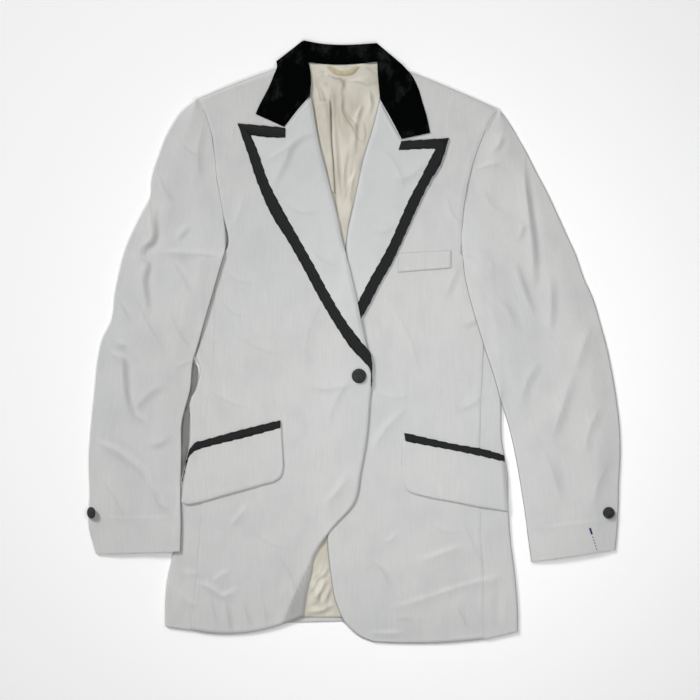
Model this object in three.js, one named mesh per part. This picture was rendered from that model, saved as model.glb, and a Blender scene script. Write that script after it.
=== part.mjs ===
// A single-button dinner jacket, laid flat on its back and folded shut, its left-hand front on top.
// Millimetres. +Z is up, +Y points to the collar, +X to the right as the jacket is seen from above.
// Every piece is a wall of cloth. A piece is laid on the pile of what lies under it, a layer at a time.
import * as THREE from 'three';

// Thickness of each cloth, with the canvas and facing that are sewn into it
const BACK_CLOTH = 1.6;
const LINING_CLOTH = 1.0;
const FRONT_CLOTH = 2.2;
const LAPEL_CLOTH = 1.8;
const COLLAR_CLOTH = 2.3;
const FALL_CLOTH = 2.0;
const FLAP_CLOTH = 1.8;
const BRAID_CLOTH = 1.0;
const TAPE_CLOTH = 1.0;

// Room between two pieces that lie on each other, and half the room at a seam
const CLEAR = 0.3;
const HALF_SEAM = 0.2;

// How closely a piece is tried against the pile, and how often, as it is let down
const SAMPLE_STEP = 4;
const SETTLE_PASSES = 40;
const LEAST_FREE_SHARE = 0.3;
const SHORT_ALLOWED = 0.1;

// Where the front of the body lies over the back: back, lining, then the front
const FRONT_LEVEL = BACK_CLOTH + CLEAR + LINING_CLOTH + CLEAR;
const SLEEVE_HOLLOW = FRONT_LEVEL - BACK_CLOTH;

// At the shoulder the fall of the collar lies under all of these, and the collar turns down over their edge
const FALL_LEVEL = FALL_CLOTH + CLEAR;
const SHOULDER_LEVEL = FALL_LEVEL + FRONT_LEVEL + FRONT_CLOTH + CLEAR;

const CENTRE_BACK = -16;
const FRONT_BUTTON = { x: 7, y: -47, radius: 10, height: 4.6 };
const CUFF_BUTTON_RIGHT = { x: 350, y: -235, radius: 8, height: 3.6 };
const CUFF_BUTTON_LEFT = { x: -360, y: -235, radius: 8, height: 3.6, lean: 40, seat: 8.4 };

// Finishes
const finish = (color, roughness) => new THREE.MeshStandardMaterial({ color, roughness, metalness: 0 });
const LINEN = finish(0xcdcecd, 0.9);
const SATIN = finish(0xcfc6b6, 0.55);
const VELVET = finish(0x08080a, 0.95);
const BRAID = finish(0x262a2a, 0.8);
const COVERED_BUTTON = finish(0x2b2d2f, 0.6);
const TAPE = finish(0xdccda8, 0.7);

// Both armhole seams, from the shoulder point down to the underarm
const ARMHOLE_LEFT = [
  [-214, 335], [-203, 309], [-196, 287], [-192, 261], [-188, 222], [-184, 199], [-180, 176], [-175, 123],
];
const ARMHOLE_RIGHT = [
  [199, 320], [189, 308], [181, 292], [170, 264], [163, 243], [155, 210], [150, 176], [148, 143], [149, 119],
];

// Side panels, down the side: the seam to the front, the fold, and the seam to the back under it
const SIDE_LEFT = [
  { seam: [-190, 110], fold: [-211, 110], under: [-181, 110] },
  { seam: [-191, 71], fold: [-211, 71], under: [-181, 71] },
  { seam: [-192, 16], fold: [-210, 16], under: [-180, 16] },
  { seam: [-195, -40], fold: [-212, -40], under: [-182, -40] },
  { seam: [-202, -87], fold: [-225, -87], under: [-194, -87] },
  { seam: [-205, -135], fold: [-226, -135], under: [-196, -135] },
  { seam: [-208, -179], fold: [-234, -179], under: [-203, -179] },
  { seam: [-211, -223], fold: [-239, -223], under: [-208, -223] },
  { seam: [-212, -259], fold: [-244, -259], under: [-213, -259] },
  { seam: [-214, -291], fold: [-249, -291], under: [-218, -291] },
  { seam: [-217, -328], fold: [-257, -328], under: [-226, -328] },
  { seam: [-221, -362], fold: [-260, -362], under: [-229, -362] },
  { seam: [-225, -396], fold: [-260, -391], under: [-229, -391] },
];
const SIDE_RIGHT = [
  { seam: [172, 107], fold: [190, 107], under: [160, 107] },
  { seam: [175, 74], fold: [190, 74], under: [160, 74] },
  { seam: [178, 2], fold: [197, 2], under: [167, 2] },
  { seam: [176, -50], fold: [201, -50], under: [171, -50] },
  { seam: [174, -90], fold: [203, -90], under: [173, -90] },
  { seam: [173, -135], fold: [204, -135], under: [174, -135] },
  { seam: [172, -183], fold: [212, -183], under: [181, -183] },
  { seam: [174, -227], fold: [213, -227], under: [182, -227] },
  { seam: [175, -273], fold: [216, -273], under: [185, -273] },
  { seam: [178, -321], fold: [222, -321], under: [191, -321] },
  { seam: [179, -359], fold: [225, -355], under: [194, -355] },
  { seam: [179, -385], fold: [226, -374], under: [195, -374] },
  { seam: [180, -398], fold: [226, -387], under: [195, -386] },
  { seam: [180, -409], fold: [226, -398], under: [195, -396] },
];

// Inner edge of each front: the neck, the roll line of the lapel, the closing edge, the cut-away corner
const FRONT_LEFT_EDGE = [
  [-73, 387], [-66, 364], [-62, 338], [-51, 284], [-36, 222], [-30, 199], [-24, 176], [-11, 123],
  [-7, 108], [1, 71], [13, 16], [25, -40], [22, -87], [18, -135], [10, -179], [0, -223], [-31, -259],
  [-52, -290], [-61, -328], [-67, -358], [-69, -377],
];
const FRONT_RIGHT_EDGE = [
  [36, 387], [36, 363], [35, 335], [24, 290], [13, 253], [4, 210], [-5, 176], [-10, 145], [-12, 126],
  [-13, 107], [-14, 74], [-16, 2], [-20, -50], [-23, -90], [-27, -135], [-31, -183], [-35, -227],
  [-37, -269], [-32, -322], [-25, -359], [-11, -388], [6, -404], [27, -413],
];

// The lining that shows in the neck and under the hem: one row from side to side for each height
const LINING_ROWS = [
  { left: [-66, 377], right: [34, 377] },
  { left: [-203, 322], right: [188, 309] },
  { left: [-188, 280], right: [170, 276] },
  { left: [-180, 222], right: [155, 232] },
  { left: [-173, 176], right: [144, 176] },
  { left: [-168, 123], right: [142, 121] },
  { left: [-202, 100], right: [182, 97] },
  { left: [-202, 16], right: [188, 2] },
  { left: [-204, -40], right: [192, -50] },
  { left: [-217, -90], right: [194, -90] },
  { left: [-218, -135], right: [195, -135] },
  { left: [-226, -179], right: [203, -183] },
  { left: [-231, -223], right: [204, -227] },
  { left: [-241, -291], right: [208, -285] },
  { left: [-249, -328], right: [213, -321] },
  { left: [-252, -362], right: [216, -355] },
  { left: [-252, -379], right: [217, -380] },
];

// A fold of the lining that lies beside the left lapel, from the collar down
const LINING_FOLD_ROWS = [
  { left: [-55, 330], right: [-33, 332] },
  { left: [-48, 283], right: [-31, 279] },
  { left: [-38, 243], right: [-28, 239] },
  { left: [-31, 207], right: [-26, 204] },
];

// Lapels: the outer edge, the roll line and, on the top row, the corner where the collar ends
const LAPEL_LEFT_ROWS = [
  { left: [-160, 300], mid: [-95, 294], right: [-59, 337] },
  { left: [-147, 262], right: [-48, 274] },
  { left: [-132, 217], right: [-36, 226] },
  { left: [-111, 170], right: [-23, 174] },
  { left: [-91, 139], right: [-16, 140] },
  { left: [-69, 100], right: [-5, 99] },
  { left: [-47, 59], right: [4, 59] },
  { left: [-21, 16], right: [13, 15] },
  { left: [-3, -10], right: [19, -11] },
  { left: [17, -31], right: [24, -33] },
];
const LAPEL_RIGHT_ROWS = [
  { left: [35, 331], mid: [65, 277], right: [131, 280] },
  { left: [24, 290], right: [119, 244] },
  { left: [13, 254], right: [105, 221] },
  { left: [4, 213], right: [91, 193] },
  { left: [-3, 180], right: [77, 162] },
  { left: [-9, 152], right: [64, 133] },
  { left: [-11, 129], right: [51, 106] },
  { left: [-12, 101], right: [36, 80] },
  { left: [-13, 71], right: [20, 49] },
  { left: [-15, 33], right: [4, 22] },
  { left: [-17, -5], right: [-11, -7] },
];

// Braid round each lapel: along the notch to the peak, then down the edge
const BRAID_LEFT_ROWS = [
  { left: [-94, 294], right: [-94, 280] },
  { left: [-126, 297], right: [-121, 281] },
  { left: [-160, 300], right: [-142, 284] },
  { left: [-147, 262], right: [-133, 264] },
  { left: [-132, 217], right: [-118, 221] },
  { left: [-111, 170], right: [-96, 178] },
  { left: [-91, 139], right: [-78, 146] },
  { left: [-69, 100], right: [-56, 107] },
  { left: [-47, 59], right: [-34, 66] },
  { left: [-21, 16], right: [-9, 25] },
  { left: [-3, -10], right: [10, 0] },
  { left: [17, -31], right: [24, -20] },
];
const BRAID_RIGHT_ROWS = [
  { left: [61, 263], right: [65, 276] },
  { left: [98, 265], right: [101, 278] },
  { left: [112, 265], right: [131, 280] },
  { left: [103, 248], right: [119, 244] },
  { left: [91, 224], right: [105, 221] },
  { left: [77, 198], right: [91, 193] },
  { left: [63, 167], right: [77, 162] },
  { left: [51, 139], right: [64, 133] },
  { left: [38, 114], right: [51, 106] },
  { left: [23, 88], right: [36, 80] },
  { left: [7, 57], right: [20, 49] },
  { left: [-7, 31], right: [4, 22] },
];

// Collar, from the shoulder, where it turns over to the back, to its front end
const COLLAR_LEFT_ROWS = [
  { left: [-107, 386], right: [-70.5, 415], level: FALL_LEVEL },
  { left: [-106, 379], right: [-70, 407], level: SHOULDER_LEVEL },
  { left: [-110, 367], right: [-64, 390] },
  { left: [-118, 348], right: [-59, 364] },
  { left: [-126, 333], right: [-60, 338.5] },
  { left: [-131, 323], right: [-79, 321] },
  { left: [-135, 313], right: [-96, 297.5] },
];
const COLLAR_RIGHT_ROWS = [
  { left: [32, 411], right: [66, 382], level: FALL_LEVEL },
  { left: [32, 403], right: [71, 376], level: SHOULDER_LEVEL },
  { left: [32, 386], right: [79, 367] },
  { left: [33, 363], right: [88, 349] },
  { left: [36, 332.5], right: [94, 330] },
  { left: [50.5, 308], right: [100, 310] },
  { left: [66.5, 280], right: [105, 287] },
];

// Back of the collar: the neck seam, the roll at the top, and the edge of the fall under the back
const COLLAR_BACK_ROWS = [
  { seam: [-60, 384.5], fold: [-65, 414.5], under: [-102, 384], rise: 3.2 },
  { seam: [-44, 382.5], fold: [-47, 411], under: [-70, 364], rise: 1.2 },
  { seam: [-16, 381.5], fold: [-16, 409], under: [-18, 358], rise: 0 },
  { seam: [11, 383], fold: [11, 410], under: [32, 363], rise: 1.2 },
  { seam: [28, 385.5], fold: [28, 411], under: [61, 380], rise: 3.2 },
];

// Sleeves, down from the shoulder. The first edge of each row is the outer one.
// Rows that follow the armhole take their inner edge from it.
const SLEEVE_LEFT_OUTER = [
  [-220, 331], [-238, 316], [-257, 286], [-267, 261], [-279, 222], [-281, 198], [-293, 175], [-316, 123],
  [-323, 96], [-329, 67], [-334, 30], [-347, 2], [-353, -27], [-357, -66], [-361, -106], [-365, -156],
  [-364, -211], [-365, -256], [-355, -292],
];
const SLEEVE_LEFT_INNER = [
  [-184, 99], [-195, 61], [-205, 27], [-213, -2], [-221, -28], [-225, -66], [-236, -109], [-237, -153],
  [-238, -207], [-237, -253], [-238, -288],
];
const SLEEVE_RIGHT_OUTER = [
  [204, 315], [213, 303], [226, 281], [239, 258], [250, 236], [264, 210], [280, 176], [294, 145],
  [305, 121], [316, 89], [329, 60], [340, 23], [349, -11], [356, -46], [362, -83], [366, -119],
  [367, -156], [365, -196], [364, -234], [362, -267], [360, -286],
];
const SLEEVE_RIGHT_INNER = [
  [152, 90], [159, 59], [169, 24], [180, -11], [191, -44], [202, -82], [213, -117], [222, -156],
  [229, -196], [235, -234], [240, -273], [244, -303],
];

// The largest folds of the sleeves and fronts: a soft ridge from one end to the other
const FOLDS_LEFT_SLEEVE = [
  { from: [-268, 235], to: [-277, 150], wide: 22, high: 1.7 },
  { from: [-277, 150], to: [-283, 45], wide: 24, high: 1.9 },
  { from: [-260, 122], to: [-190, 117], wide: 18, high: 1.2 },
  { from: [-338, -5], to: [-312, -80], wide: 22, high: 1.6 },
  { from: [-352, -140], to: [-290, -175], wide: 20, high: 1.5 },
  { from: [-290, -175], to: [-258, -228], wide: 20, high: 1.5 },
];
const FOLDS_RIGHT_SLEEVE = [
  { from: [236, 258], to: [238, 180], wide: 20, high: 1.8 },
  { from: [238, 180], to: [247, 85], wide: 22, high: 1.7 },
  { from: [222, 104], to: [250, 35], wide: 18, high: 1.3 },
  { from: [270, 88], to: [272, 15], wide: 20, high: 1.2 },
  { from: [300, -60], to: [275, -130], wide: 24, high: 1.1 },
];
const FOLDS_FRONT_RIGHT = [
  { from: [55, -367], to: [145, -338], wide: 26, high: 1.8 },
  { from: [145, -338], to: [170, -326], wide: 24, high: 1.4 },
  { from: [28, -148], to: [72, -92], wide: 24, high: 1.3 },
  { from: [22, -301], to: [48, -333], wide: 18, high: 1.4 },
];
const FOLDS_FRONT_LEFT = [
  { from: [-208, -336], to: [-160, -340], wide: 22, high: 1.4 },
  { from: [-178, -355], to: [-168, -392], wide: 20, high: 1.6 },
  { from: [-152, -355], to: [-142, -388], wide: 20, high: 1.4 },
  { from: [-168, -250], to: [-145, -226], wide: 20, high: 1.2 },
];

// Breast welt, flaps and the braid over each flap, in rows down the piece or along it
const WELT_ROWS = [
  { left: [61, 122], right: [134, 126] },
  { left: [60, 95], right: [134, 101] },
];
const FLAP_LEFT_ROWS = [
  { left: [-230, -165], right: [-237, -221] },
  { left: [-214, -145], right: [-215, -221] },
  { left: [-183, -135], right: [-183, -212] },
  { left: [-151, -127], right: [-152, -204] },
  { left: [-106, -116], right: [-108, -191] },
  { left: [-100, -113], right: [-98, -181] },
];
const FLAP_RIGHT_ROWS = [
  { left: [68, -132], right: [67, -176] },
  { left: [72, -134], right: [74, -206] },
  { left: [102, -138], right: [100, -213] },
  { left: [140, -145], right: [138, -220] },
  { left: [176, -152], right: [173, -227] },
  { left: [206, -163], right: [212, -233] },
];
const POCKET_BRAID_LEFT_ROWS = [
  { left: [-226, -148], right: [-225, -156] },
  { left: [-219, -139], right: [-217, -150] },
  { left: [-183, -129], right: [-183, -140] },
  { left: [-152, -121], right: [-152, -132] },
  { left: [-101, -108], right: [-101, -118] },
];
const POCKET_BRAID_RIGHT_ROWS = [
  { left: [69, -125], right: [71, -137] },
  { left: [103, -133], right: [103, -143] },
  { left: [140, -141], right: [140, -150] },
  { left: [179, -148], right: [178, -158] },
  { left: [203, -155], right: [204, -164] },
];

// The hanging loop at the back of the neck, from end to end
const HANGER_ROWS = [
  { left: [-38, 378], right: [-32, 379] },
  { left: [-29, 370], right: [-25, 375] },
  { left: [-14, 366], right: [-13, 372] },
  { left: [-1, 369], right: [-4, 375] },
  { left: [8, 378], right: [3, 379] },
];

// How high the pile of cloth already laid is, over a grid of small squares
class Pile {
  constructor(halfWidth, halfLength, square) {
    this.square = square;
    this.across = Math.ceil(halfWidth / square);
    this.along = Math.ceil(halfLength / square);
    this.stride = 2 * this.across + 1;
    this.height = new Float32Array(this.stride * (2 * this.along + 1)).fill(-CLEAR);
  }

  index(i, j) {
    return (j + this.along) * this.stride + i + this.across;
  }

  // The highest cloth within reach of a place, or a little under the floor where nothing lies
  highest(x, y, reach) {
    const squares = Math.ceil(reach / this.square) + 1;
    const ci = Math.round(x / this.square);
    const cj = Math.round(y / this.square);
    let best = -CLEAR;
    for (let j = Math.max(cj - squares, -this.along); j <= Math.min(cj + squares, this.along); j += 1) {
      for (let i = Math.max(ci - squares, -this.across); i <= Math.min(ci + squares, this.across); i += 1) {
        const away = Math.hypot(i * this.square - x, j * this.square - y);
        if (away <= reach + this.square) best = Math.max(best, this.height[this.index(i, j)]);
      }
    }
    return best;
  }

  // Takes in a piece by the triangles of its upper surface
  add(top) {
    for (let r = 1; r < top.length; r += 1) {
      for (let c = 1; c < top[r].length; c += 1) {
        this.addTriangle(top[r - 1][c - 1], top[r][c - 1], top[r][c]);
        this.addTriangle(top[r - 1][c - 1], top[r][c], top[r - 1][c]);
      }
    }
  }

  // Each square within the triangle rises to it, and by as much more as it climbs over one square
  addTriangle(a, b, d) {
    const most = Math.max(a.z, b.z, d.z);
    const area = (b.x - a.x) * (d.y - a.y) - (d.x - a.x) * (b.y - a.y);
    const slopeX = ((b.z - a.z) * (d.y - a.y) - (d.z - a.z) * (b.y - a.y)) / area;
    const slopeY = ((b.x - a.x) * (d.z - a.z) - (d.x - a.x) * (b.z - a.z)) / area;
    const climb = this.square * Math.hypot(slopeX, slopeY);
    const low = (u, v, w) => Math.floor(Math.min(u, v, w) / this.square);
    const high = (u, v, w) => Math.ceil(Math.max(u, v, w) / this.square);
    const slack = -0.75 * this.square;
    for (let j = low(a.y, b.y, d.y); j <= high(a.y, b.y, d.y); j += 1) {
      for (let i = low(a.x, b.x, d.x); i <= high(a.x, b.x, d.x); i += 1) {
        const p = { x: i * this.square, y: j * this.square };
        const inside = [[a, b], [b, d], [d, a]].every(([u, v]) => {
          const side = Math.sign(area) * ((v.x - u.x) * (p.y - u.y) - (p.x - u.x) * (v.y - u.y));
          return side >= slack * Math.hypot(v.x - u.x, v.y - u.y);
        });
        const cell = this.index(i, j);
        const level = Math.min(most, a.z + slopeX * (p.x - a.x) + slopeY * (p.y - a.y) + climb);
        if (inside) this.height[cell] = Math.max(this.height[cell], level);
      }
    }
  }
}

const mix = (a, b, s) => a + (b - a) * s;

// Six times the volume inside a mesh: below nought where its faces point inwards
function enclosedVolume(positions, faces) {
  const point = (i) => new THREE.Vector3().fromArray(positions, 3 * faces[i]);
  let volume = 0;
  for (let i = 0; i < faces.length; i += 3) {
    volume += point(i).dot(point(i + 1).cross(point(i + 2)));
  }
  return volume;
}

// A closed wall between two grids of points with the same rows and columns
function wall(outer, inner) {
  const rows = outer.length;
  const columns = outer[0].length;
  const positions = [];
  [outer, inner].forEach((side) => side.flat().forEach((p) => positions.push(p.x, p.y, p.z)));
  const at = (side, r, c) => side * rows * columns + r * columns + c;
  const faces = [];
  const quad = (a, b, d, e) => faces.push(a, b, d, a, d, e);
  for (let r = 1; r < rows; r += 1) {
    for (let c = 1; c < columns; c += 1) {
      quad(at(0, r - 1, c - 1), at(0, r, c - 1), at(0, r, c), at(0, r - 1, c));
      quad(at(1, r - 1, c - 1), at(1, r - 1, c), at(1, r, c), at(1, r, c - 1));
    }
    quad(at(0, r - 1, 0), at(1, r - 1, 0), at(1, r, 0), at(0, r, 0));
    quad(at(0, r, columns - 1), at(1, r, columns - 1), at(1, r - 1, columns - 1), at(0, r - 1, columns - 1));
  }
  for (let c = 1; c < columns; c += 1) {
    quad(at(0, 0, c), at(1, 0, c), at(1, 0, c - 1), at(0, 0, c - 1));
    quad(at(0, rows - 1, c - 1), at(1, rows - 1, c - 1), at(1, rows - 1, c), at(0, rows - 1, c));
  }
  const geometry = new THREE.BufferGeometry();
  geometry.setAttribute('position', new THREE.Float32BufferAttribute(positions, 3));
  geometry.setIndex(enclosedVolume(positions, faces) < 0 ? faces.reverse() : faces);
  geometry.computeVertexNormals();
  return geometry;
}

// Joins two edges, point by point, into rows
const rowsBetween = (left, right) => left.map((point, r) => ({ left: point, right: right[r] }));

// The plan of a piece: its rows, each shared out into columns, with room left at its side seams
function planOf(rows, columns, kneeColumn) {
  return rows.map((row) => Array.from({ length: columns + 1 }, (_, c) => {
    const left = [row.left[0] + HALF_SEAM, row.left[1]];
    const right = [row.right[0] - HALF_SEAM, row.right[1]];
    const bow = (row.bow ?? 0) * 4 * (c / columns) * (1 - c / columns);
    if (!row.mid) {
      return { x: mix(left[0], right[0], c / columns), y: mix(left[1], right[1], c / columns) + bow };
    }
    const first = c <= kneeColumn;
    const [from, to] = first ? [left, row.mid] : [row.mid, right];
    const s = first ? c / kneeColumn : (c - kneeColumn) / (columns - kneeColumn);
    return { x: mix(from[0], to[0], s), y: mix(from[1], to[1], s) + bow };
  }));
}

// Points spread over a triangle of the plan, with the share that each corner has in them
function samplesOf(corners) {
  const [a, b, d] = corners;
  const longest = Math.max(Math.hypot(b.x - a.x, b.y - a.y), Math.hypot(d.x - a.x, d.y - a.y));
  const steps = Math.max(2, Math.ceil(longest / SAMPLE_STEP));
  const samples = [];
  for (let i = 0; i <= steps; i += 1) {
    for (let j = 0; j <= steps - i; j += 1) {
      const shares = [1 - (i + j) / steps, i / steps, j / steps];
      const x = shares[0] * a.x + shares[1] * b.x + shares[2] * d.x;
      const y = shares[0] * a.y + shares[1] * b.y + shares[2] * d.y;
      samples.push({ corners, shares, floor: pile.highest(x, y, SAMPLE_STEP / 2) + CLEAR });
    }
  }
  return samples;
}

// Lets a plan down on the pile: each point gets the lowest z that keeps its triangles clear of the cloth below.
// A point whose level is given stays there.
function settle(plan, levelOf) {
  const points = plan.map((row, r) => row.map(({ x, y }, c) => {
    const level = levelOf(r, c);
    return { x, y, z: level ?? pile.highest(x, y, 0) + CLEAR, free: level === undefined };
  }));
  const samples = [];
  for (let r = 1; r < points.length; r += 1) {
    for (let c = 1; c < points[r].length; c += 1) {
      samples.push(...samplesOf([points[r - 1][c - 1], points[r][c - 1], points[r][c]]));
      samples.push(...samplesOf([points[r - 1][c - 1], points[r][c], points[r - 1][c]]));
    }
  }
  samples.forEach(({ corners, floor }) => corners.forEach((corner) => {
    corner.cap = Math.max(corner.cap ?? corner.z, floor);
  }));
  const shortOf = ({ corners, shares, floor }) => floor - corners.reduce((z, corner, k) => z + shares[k] * corner.z, 0);
  for (let pass = 0; pass < SETTLE_PASSES; pass += 1) {
    samples.forEach((sample) => {
      const short = shortOf(sample);
      const freeShare = sample.corners.reduce((sum, { free }, k) => sum + (free ? sample.shares[k] : 0), 0);
      if (short <= 0 || freeShare < LEAST_FREE_SHARE) return;
      const weight = sample.corners.reduce((sum, { free }, k) => sum + (free ? sample.shares[k] ** 2 : 0), 0);
      sample.corners.forEach((corner, k) => {
        if (corner.free) corner.z = Math.min(corner.cap, corner.z + (short * sample.shares[k]) / weight);
      });
    });
  }
  samples.filter((sample) => shortOf(sample) > SHORT_ALLOWED).forEach(({ corners, floor }) => {
    corners.filter(({ free }) => free).forEach((corner) => {
      corner.z = Math.max(corner.z, floor);
    });
  });
  return points;
}

// Height of the soft ridges at a place
function foldHeight(folds, x, y) {
  return folds.reduce((sum, { from, to, wide, high }) => {
    const along = [to[0] - from[0], to[1] - from[1]];
    const length = Math.hypot(...along);
    const s = ((x - from[0]) * along[0] + (y - from[1]) * along[1]) / (length * length);
    const kept = Math.min(Math.max(s, 0), 1);
    const away = Math.hypot(x - from[0] - kept * along[0], y - from[1] - kept * along[1]);
    return Math.max(sum, away < wide ? high * (0.5 + 0.5 * Math.cos((Math.PI * away) / wide)) : 0);
  }, 0);
}

const pile = new Pile(390, 440, 2);
const jacket = new THREE.Group();
jacket.name = 'jacket';

function addMesh(name, geometry, material) {
  const mesh = new THREE.Mesh(geometry, material);
  mesh.name = name;
  jacket.add(mesh);
}

// Lays a piece on the pile and gives its upper surface, which joins the pile with its whole layer
function lay(name, material, { rows, columns, thick, knee = 0, folds = [] }) {
  const settled = settle(planOf(rows, columns, knee), (r) => rows[r].level);
  const bottom = settled.map((row) => row.map(({ x, y, z }) => ({ x, y, z: z + foldHeight(folds, x, y) })));
  const top = bottom.map((row) => row.map(({ x, y, z }) => ({ x, y, z: z + thick })));
  addMesh(name, wall(top, bottom), material);
  return top;
}

const layer = (...tops) => tops.forEach((top) => pile.add(top));

// A piece that goes round a fold: an upper leg, a turn, and a lower leg under it
function hairpin(name, material, rows, legs) {
  const { lowerOuter, lowerInner, upperInner, upperOuter, legColumns, turnColumns } = legs;
  const section = ({ seam, fold, under, rise = 0 }) => {
    const outer = [];
    const inner = [];
    const middle = (lowerOuter + upperOuter + rise) / 2;
    const half = (upperOuter + rise - lowerOuter) / 2;
    const slit = (upperInner - lowerInner) / 2;
    const slitMiddle = (upperInner + lowerInner) / 2;
    const leg = (end, outerZ, innerZ, lift) => {
      const away = [end[0] - fold[0], end[1] - fold[1]];
      const length = Math.hypot(...away);
      const trim = HALF_SEAM / length;
      return Array.from({ length: legColumns }, (_, k) => {
        const s = mix(half / length, 1 - trim, (legColumns - k) / legColumns);
        const x = fold[0] + s * away[0];
        const y = fold[1] + s * away[1];
        return [{ x, y, z: outerZ + lift }, { x, y, z: innerZ + lift * s }];
      });
    };
    leg(seam, upperOuter, upperInner, rise).forEach(([a, b]) => {
      outer.push(a);
      inner.push(b);
    });
    for (let k = 0; k <= turnColumns; k += 1) {
      const angle = Math.PI * (0.5 - k / turnColumns);
      const end = k * 2 < turnColumns ? seam : under;
      const length = Math.hypot(end[0] - fold[0], end[1] - fold[1]);
      const inward = [(end[0] - fold[0]) / length, (end[1] - fold[1]) / length];
      const out = half * (1 - Math.cos(angle));
      const into = half - slit * Math.cos(angle) * 0.8;
      outer.push({ x: fold[0] + inward[0] * out, y: fold[1] + inward[1] * out, z: middle + half * Math.sin(angle) });
      inner.push({
        x: fold[0] + inward[0] * into,
        y: fold[1] + inward[1] * into,
        z: slitMiddle + slit * Math.sin(angle),
      });
    }
    leg(under, lowerOuter, lowerInner, 0).reverse().forEach(([a, b]) => {
      outer.push(a);
      inner.push(b);
    });
    return [outer, inner];
  };
  const sections = rows.map(section);
  const outer = sections.map(([side]) => side);
  const inner = sections.map(([, side]) => side);
  addMesh(name, wall(outer, inner), material);
  const upperHalf = legColumns + turnColumns / 2 + 1;
  return { upper: outer.map((row) => row.slice(0, upperHalf)), lower: inner.map((row) => row.slice(-legColumns)) };
}

// Back of the collar, whose fall lies on the floor under the back
const COLLAR_LEGS = {
  lowerOuter: 0,
  lowerInner: FALL_CLOTH,
  upperInner: FALL_LEVEL,
  upperOuter: FALL_LEVEL + COLLAR_CLOTH,
  legColumns: 3,
  turnColumns: 4,
};
const collarBack = hairpin('collar_back', VELVET, COLLAR_BACK_ROWS, COLLAR_LEGS);
pile.add(collarBack.lower);

// Back panels, joined down the centre
const centre = (y) => [CENTRE_BACK, y];
const BACK_TOP = [
  { mid: 385, neck: 379 },
  { mid: 352, neck: 350 },
];
const backLeftRows = [...ARMHOLE_LEFT, ...SIDE_LEFT.map(({ under }) => under)].map((outer, r) => {
  const top = BACK_TOP[r];
  const left = [outer[0], outer[1]];
  if (top) return { left, mid: [-73 + r * 4, top.mid], right: centre(top.neck) };
  return { left, right: centre(r === ARMHOLE_LEFT.length + SIDE_LEFT.length - 1 ? -385 : outer[1]) };
});
const backRightRows = [...ARMHOLE_RIGHT, ...SIDE_RIGHT.map(({ under }) => under)].map((outer, r) => {
  const top = BACK_TOP[r];
  const right = [outer[0], outer[1]];
  if (top) return { left: centre(top.neck), mid: [36 - r * 2, top.mid], right };
  return { left: centre(r === ARMHOLE_RIGHT.length + SIDE_RIGHT.length - 1 ? -385 : outer[1]), right };
});
layer(
  lay('back_left', LINEN, { rows: backLeftRows, columns: 6, thick: BACK_CLOTH, knee: 4 }),
  lay('back_right', LINEN, { rows: backRightRows, columns: 6, thick: BACK_CLOTH, knee: 2 }),
);

layer(lay('back_lining', SATIN, { rows: LINING_ROWS, columns: 8, thick: LINING_CLOTH }));

// Side panels, which turn the front of the body into the back
const SIDE_LEGS = {
  lowerOuter: 0,
  lowerInner: BACK_CLOTH,
  upperInner: FRONT_LEVEL,
  upperOuter: FRONT_LEVEL + FRONT_CLOTH,
  legColumns: 2,
  turnColumns: 4,
};
const sideLeft = hairpin('side_left', LINEN, SIDE_LEFT, SIDE_LEGS);
const sideRight = hairpin('side_right', LINEN, SIDE_RIGHT, SIDE_LEGS);

// Right-hand front with its lapel, braid and collar end
const frontRightRows = rowsBetween(FRONT_RIGHT_EDGE, [...ARMHOLE_RIGHT, ...SIDE_RIGHT.map(({ seam }) => seam)]);
frontRightRows[0].bow = 2;
frontRightRows[frontRightRows.length - 1].bow = -4;
layer(lay('front_right', LINEN, {
  rows: frontRightRows, columns: 8, thick: FRONT_CLOTH, folds: FOLDS_FRONT_RIGHT,
}));
layer(
  lay('lapel_right', LINEN, { rows: LAPEL_RIGHT_ROWS, columns: 5, thick: LAPEL_CLOTH, knee: 2 }),
  lay('collar_right', VELVET, { rows: COLLAR_RIGHT_ROWS, columns: 4, thick: COLLAR_CLOTH }),
  lay('breast_welt', LINEN, { rows: WELT_ROWS, columns: 3, thick: LAPEL_CLOTH }),
);
layer(lay('lapel_braid_right', BRAID, { rows: BRAID_RIGHT_ROWS, columns: 1, thick: BRAID_CLOTH }));

// Left-hand front, which laps over the right one
const frontLeftRows = rowsBetween([...ARMHOLE_LEFT, ...SIDE_LEFT.map(({ seam }) => seam)], FRONT_LEFT_EDGE);
frontLeftRows[0].bow = 2;
frontLeftRows[frontLeftRows.length - 1].bow = -14;
const frontLeft = lay('front_left', LINEN, {
  rows: frontLeftRows, columns: 8, thick: FRONT_CLOTH, folds: FOLDS_FRONT_LEFT,
});
const liningFold = lay('lining_fold', SATIN, { rows: LINING_FOLD_ROWS, columns: 2, thick: LINING_CLOTH });
layer(frontLeft, liningFold, sideLeft.upper, sideRight.upper);
layer(
  lay('lapel_left', LINEN, { rows: LAPEL_LEFT_ROWS, columns: 5, thick: LAPEL_CLOTH, knee: 3 }),
  lay('collar_left', VELVET, { rows: COLLAR_LEFT_ROWS, columns: 4, thick: COLLAR_CLOTH }),
  lay('pocket_flap_left', LINEN, { rows: FLAP_LEFT_ROWS, columns: 3, thick: FLAP_CLOTH }),
  lay('pocket_flap_right', LINEN, { rows: FLAP_RIGHT_ROWS, columns: 3, thick: FLAP_CLOTH }),
  lay('hanger_loop', TAPE, { rows: HANGER_ROWS, columns: 1, thick: TAPE_CLOTH }),
);
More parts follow.
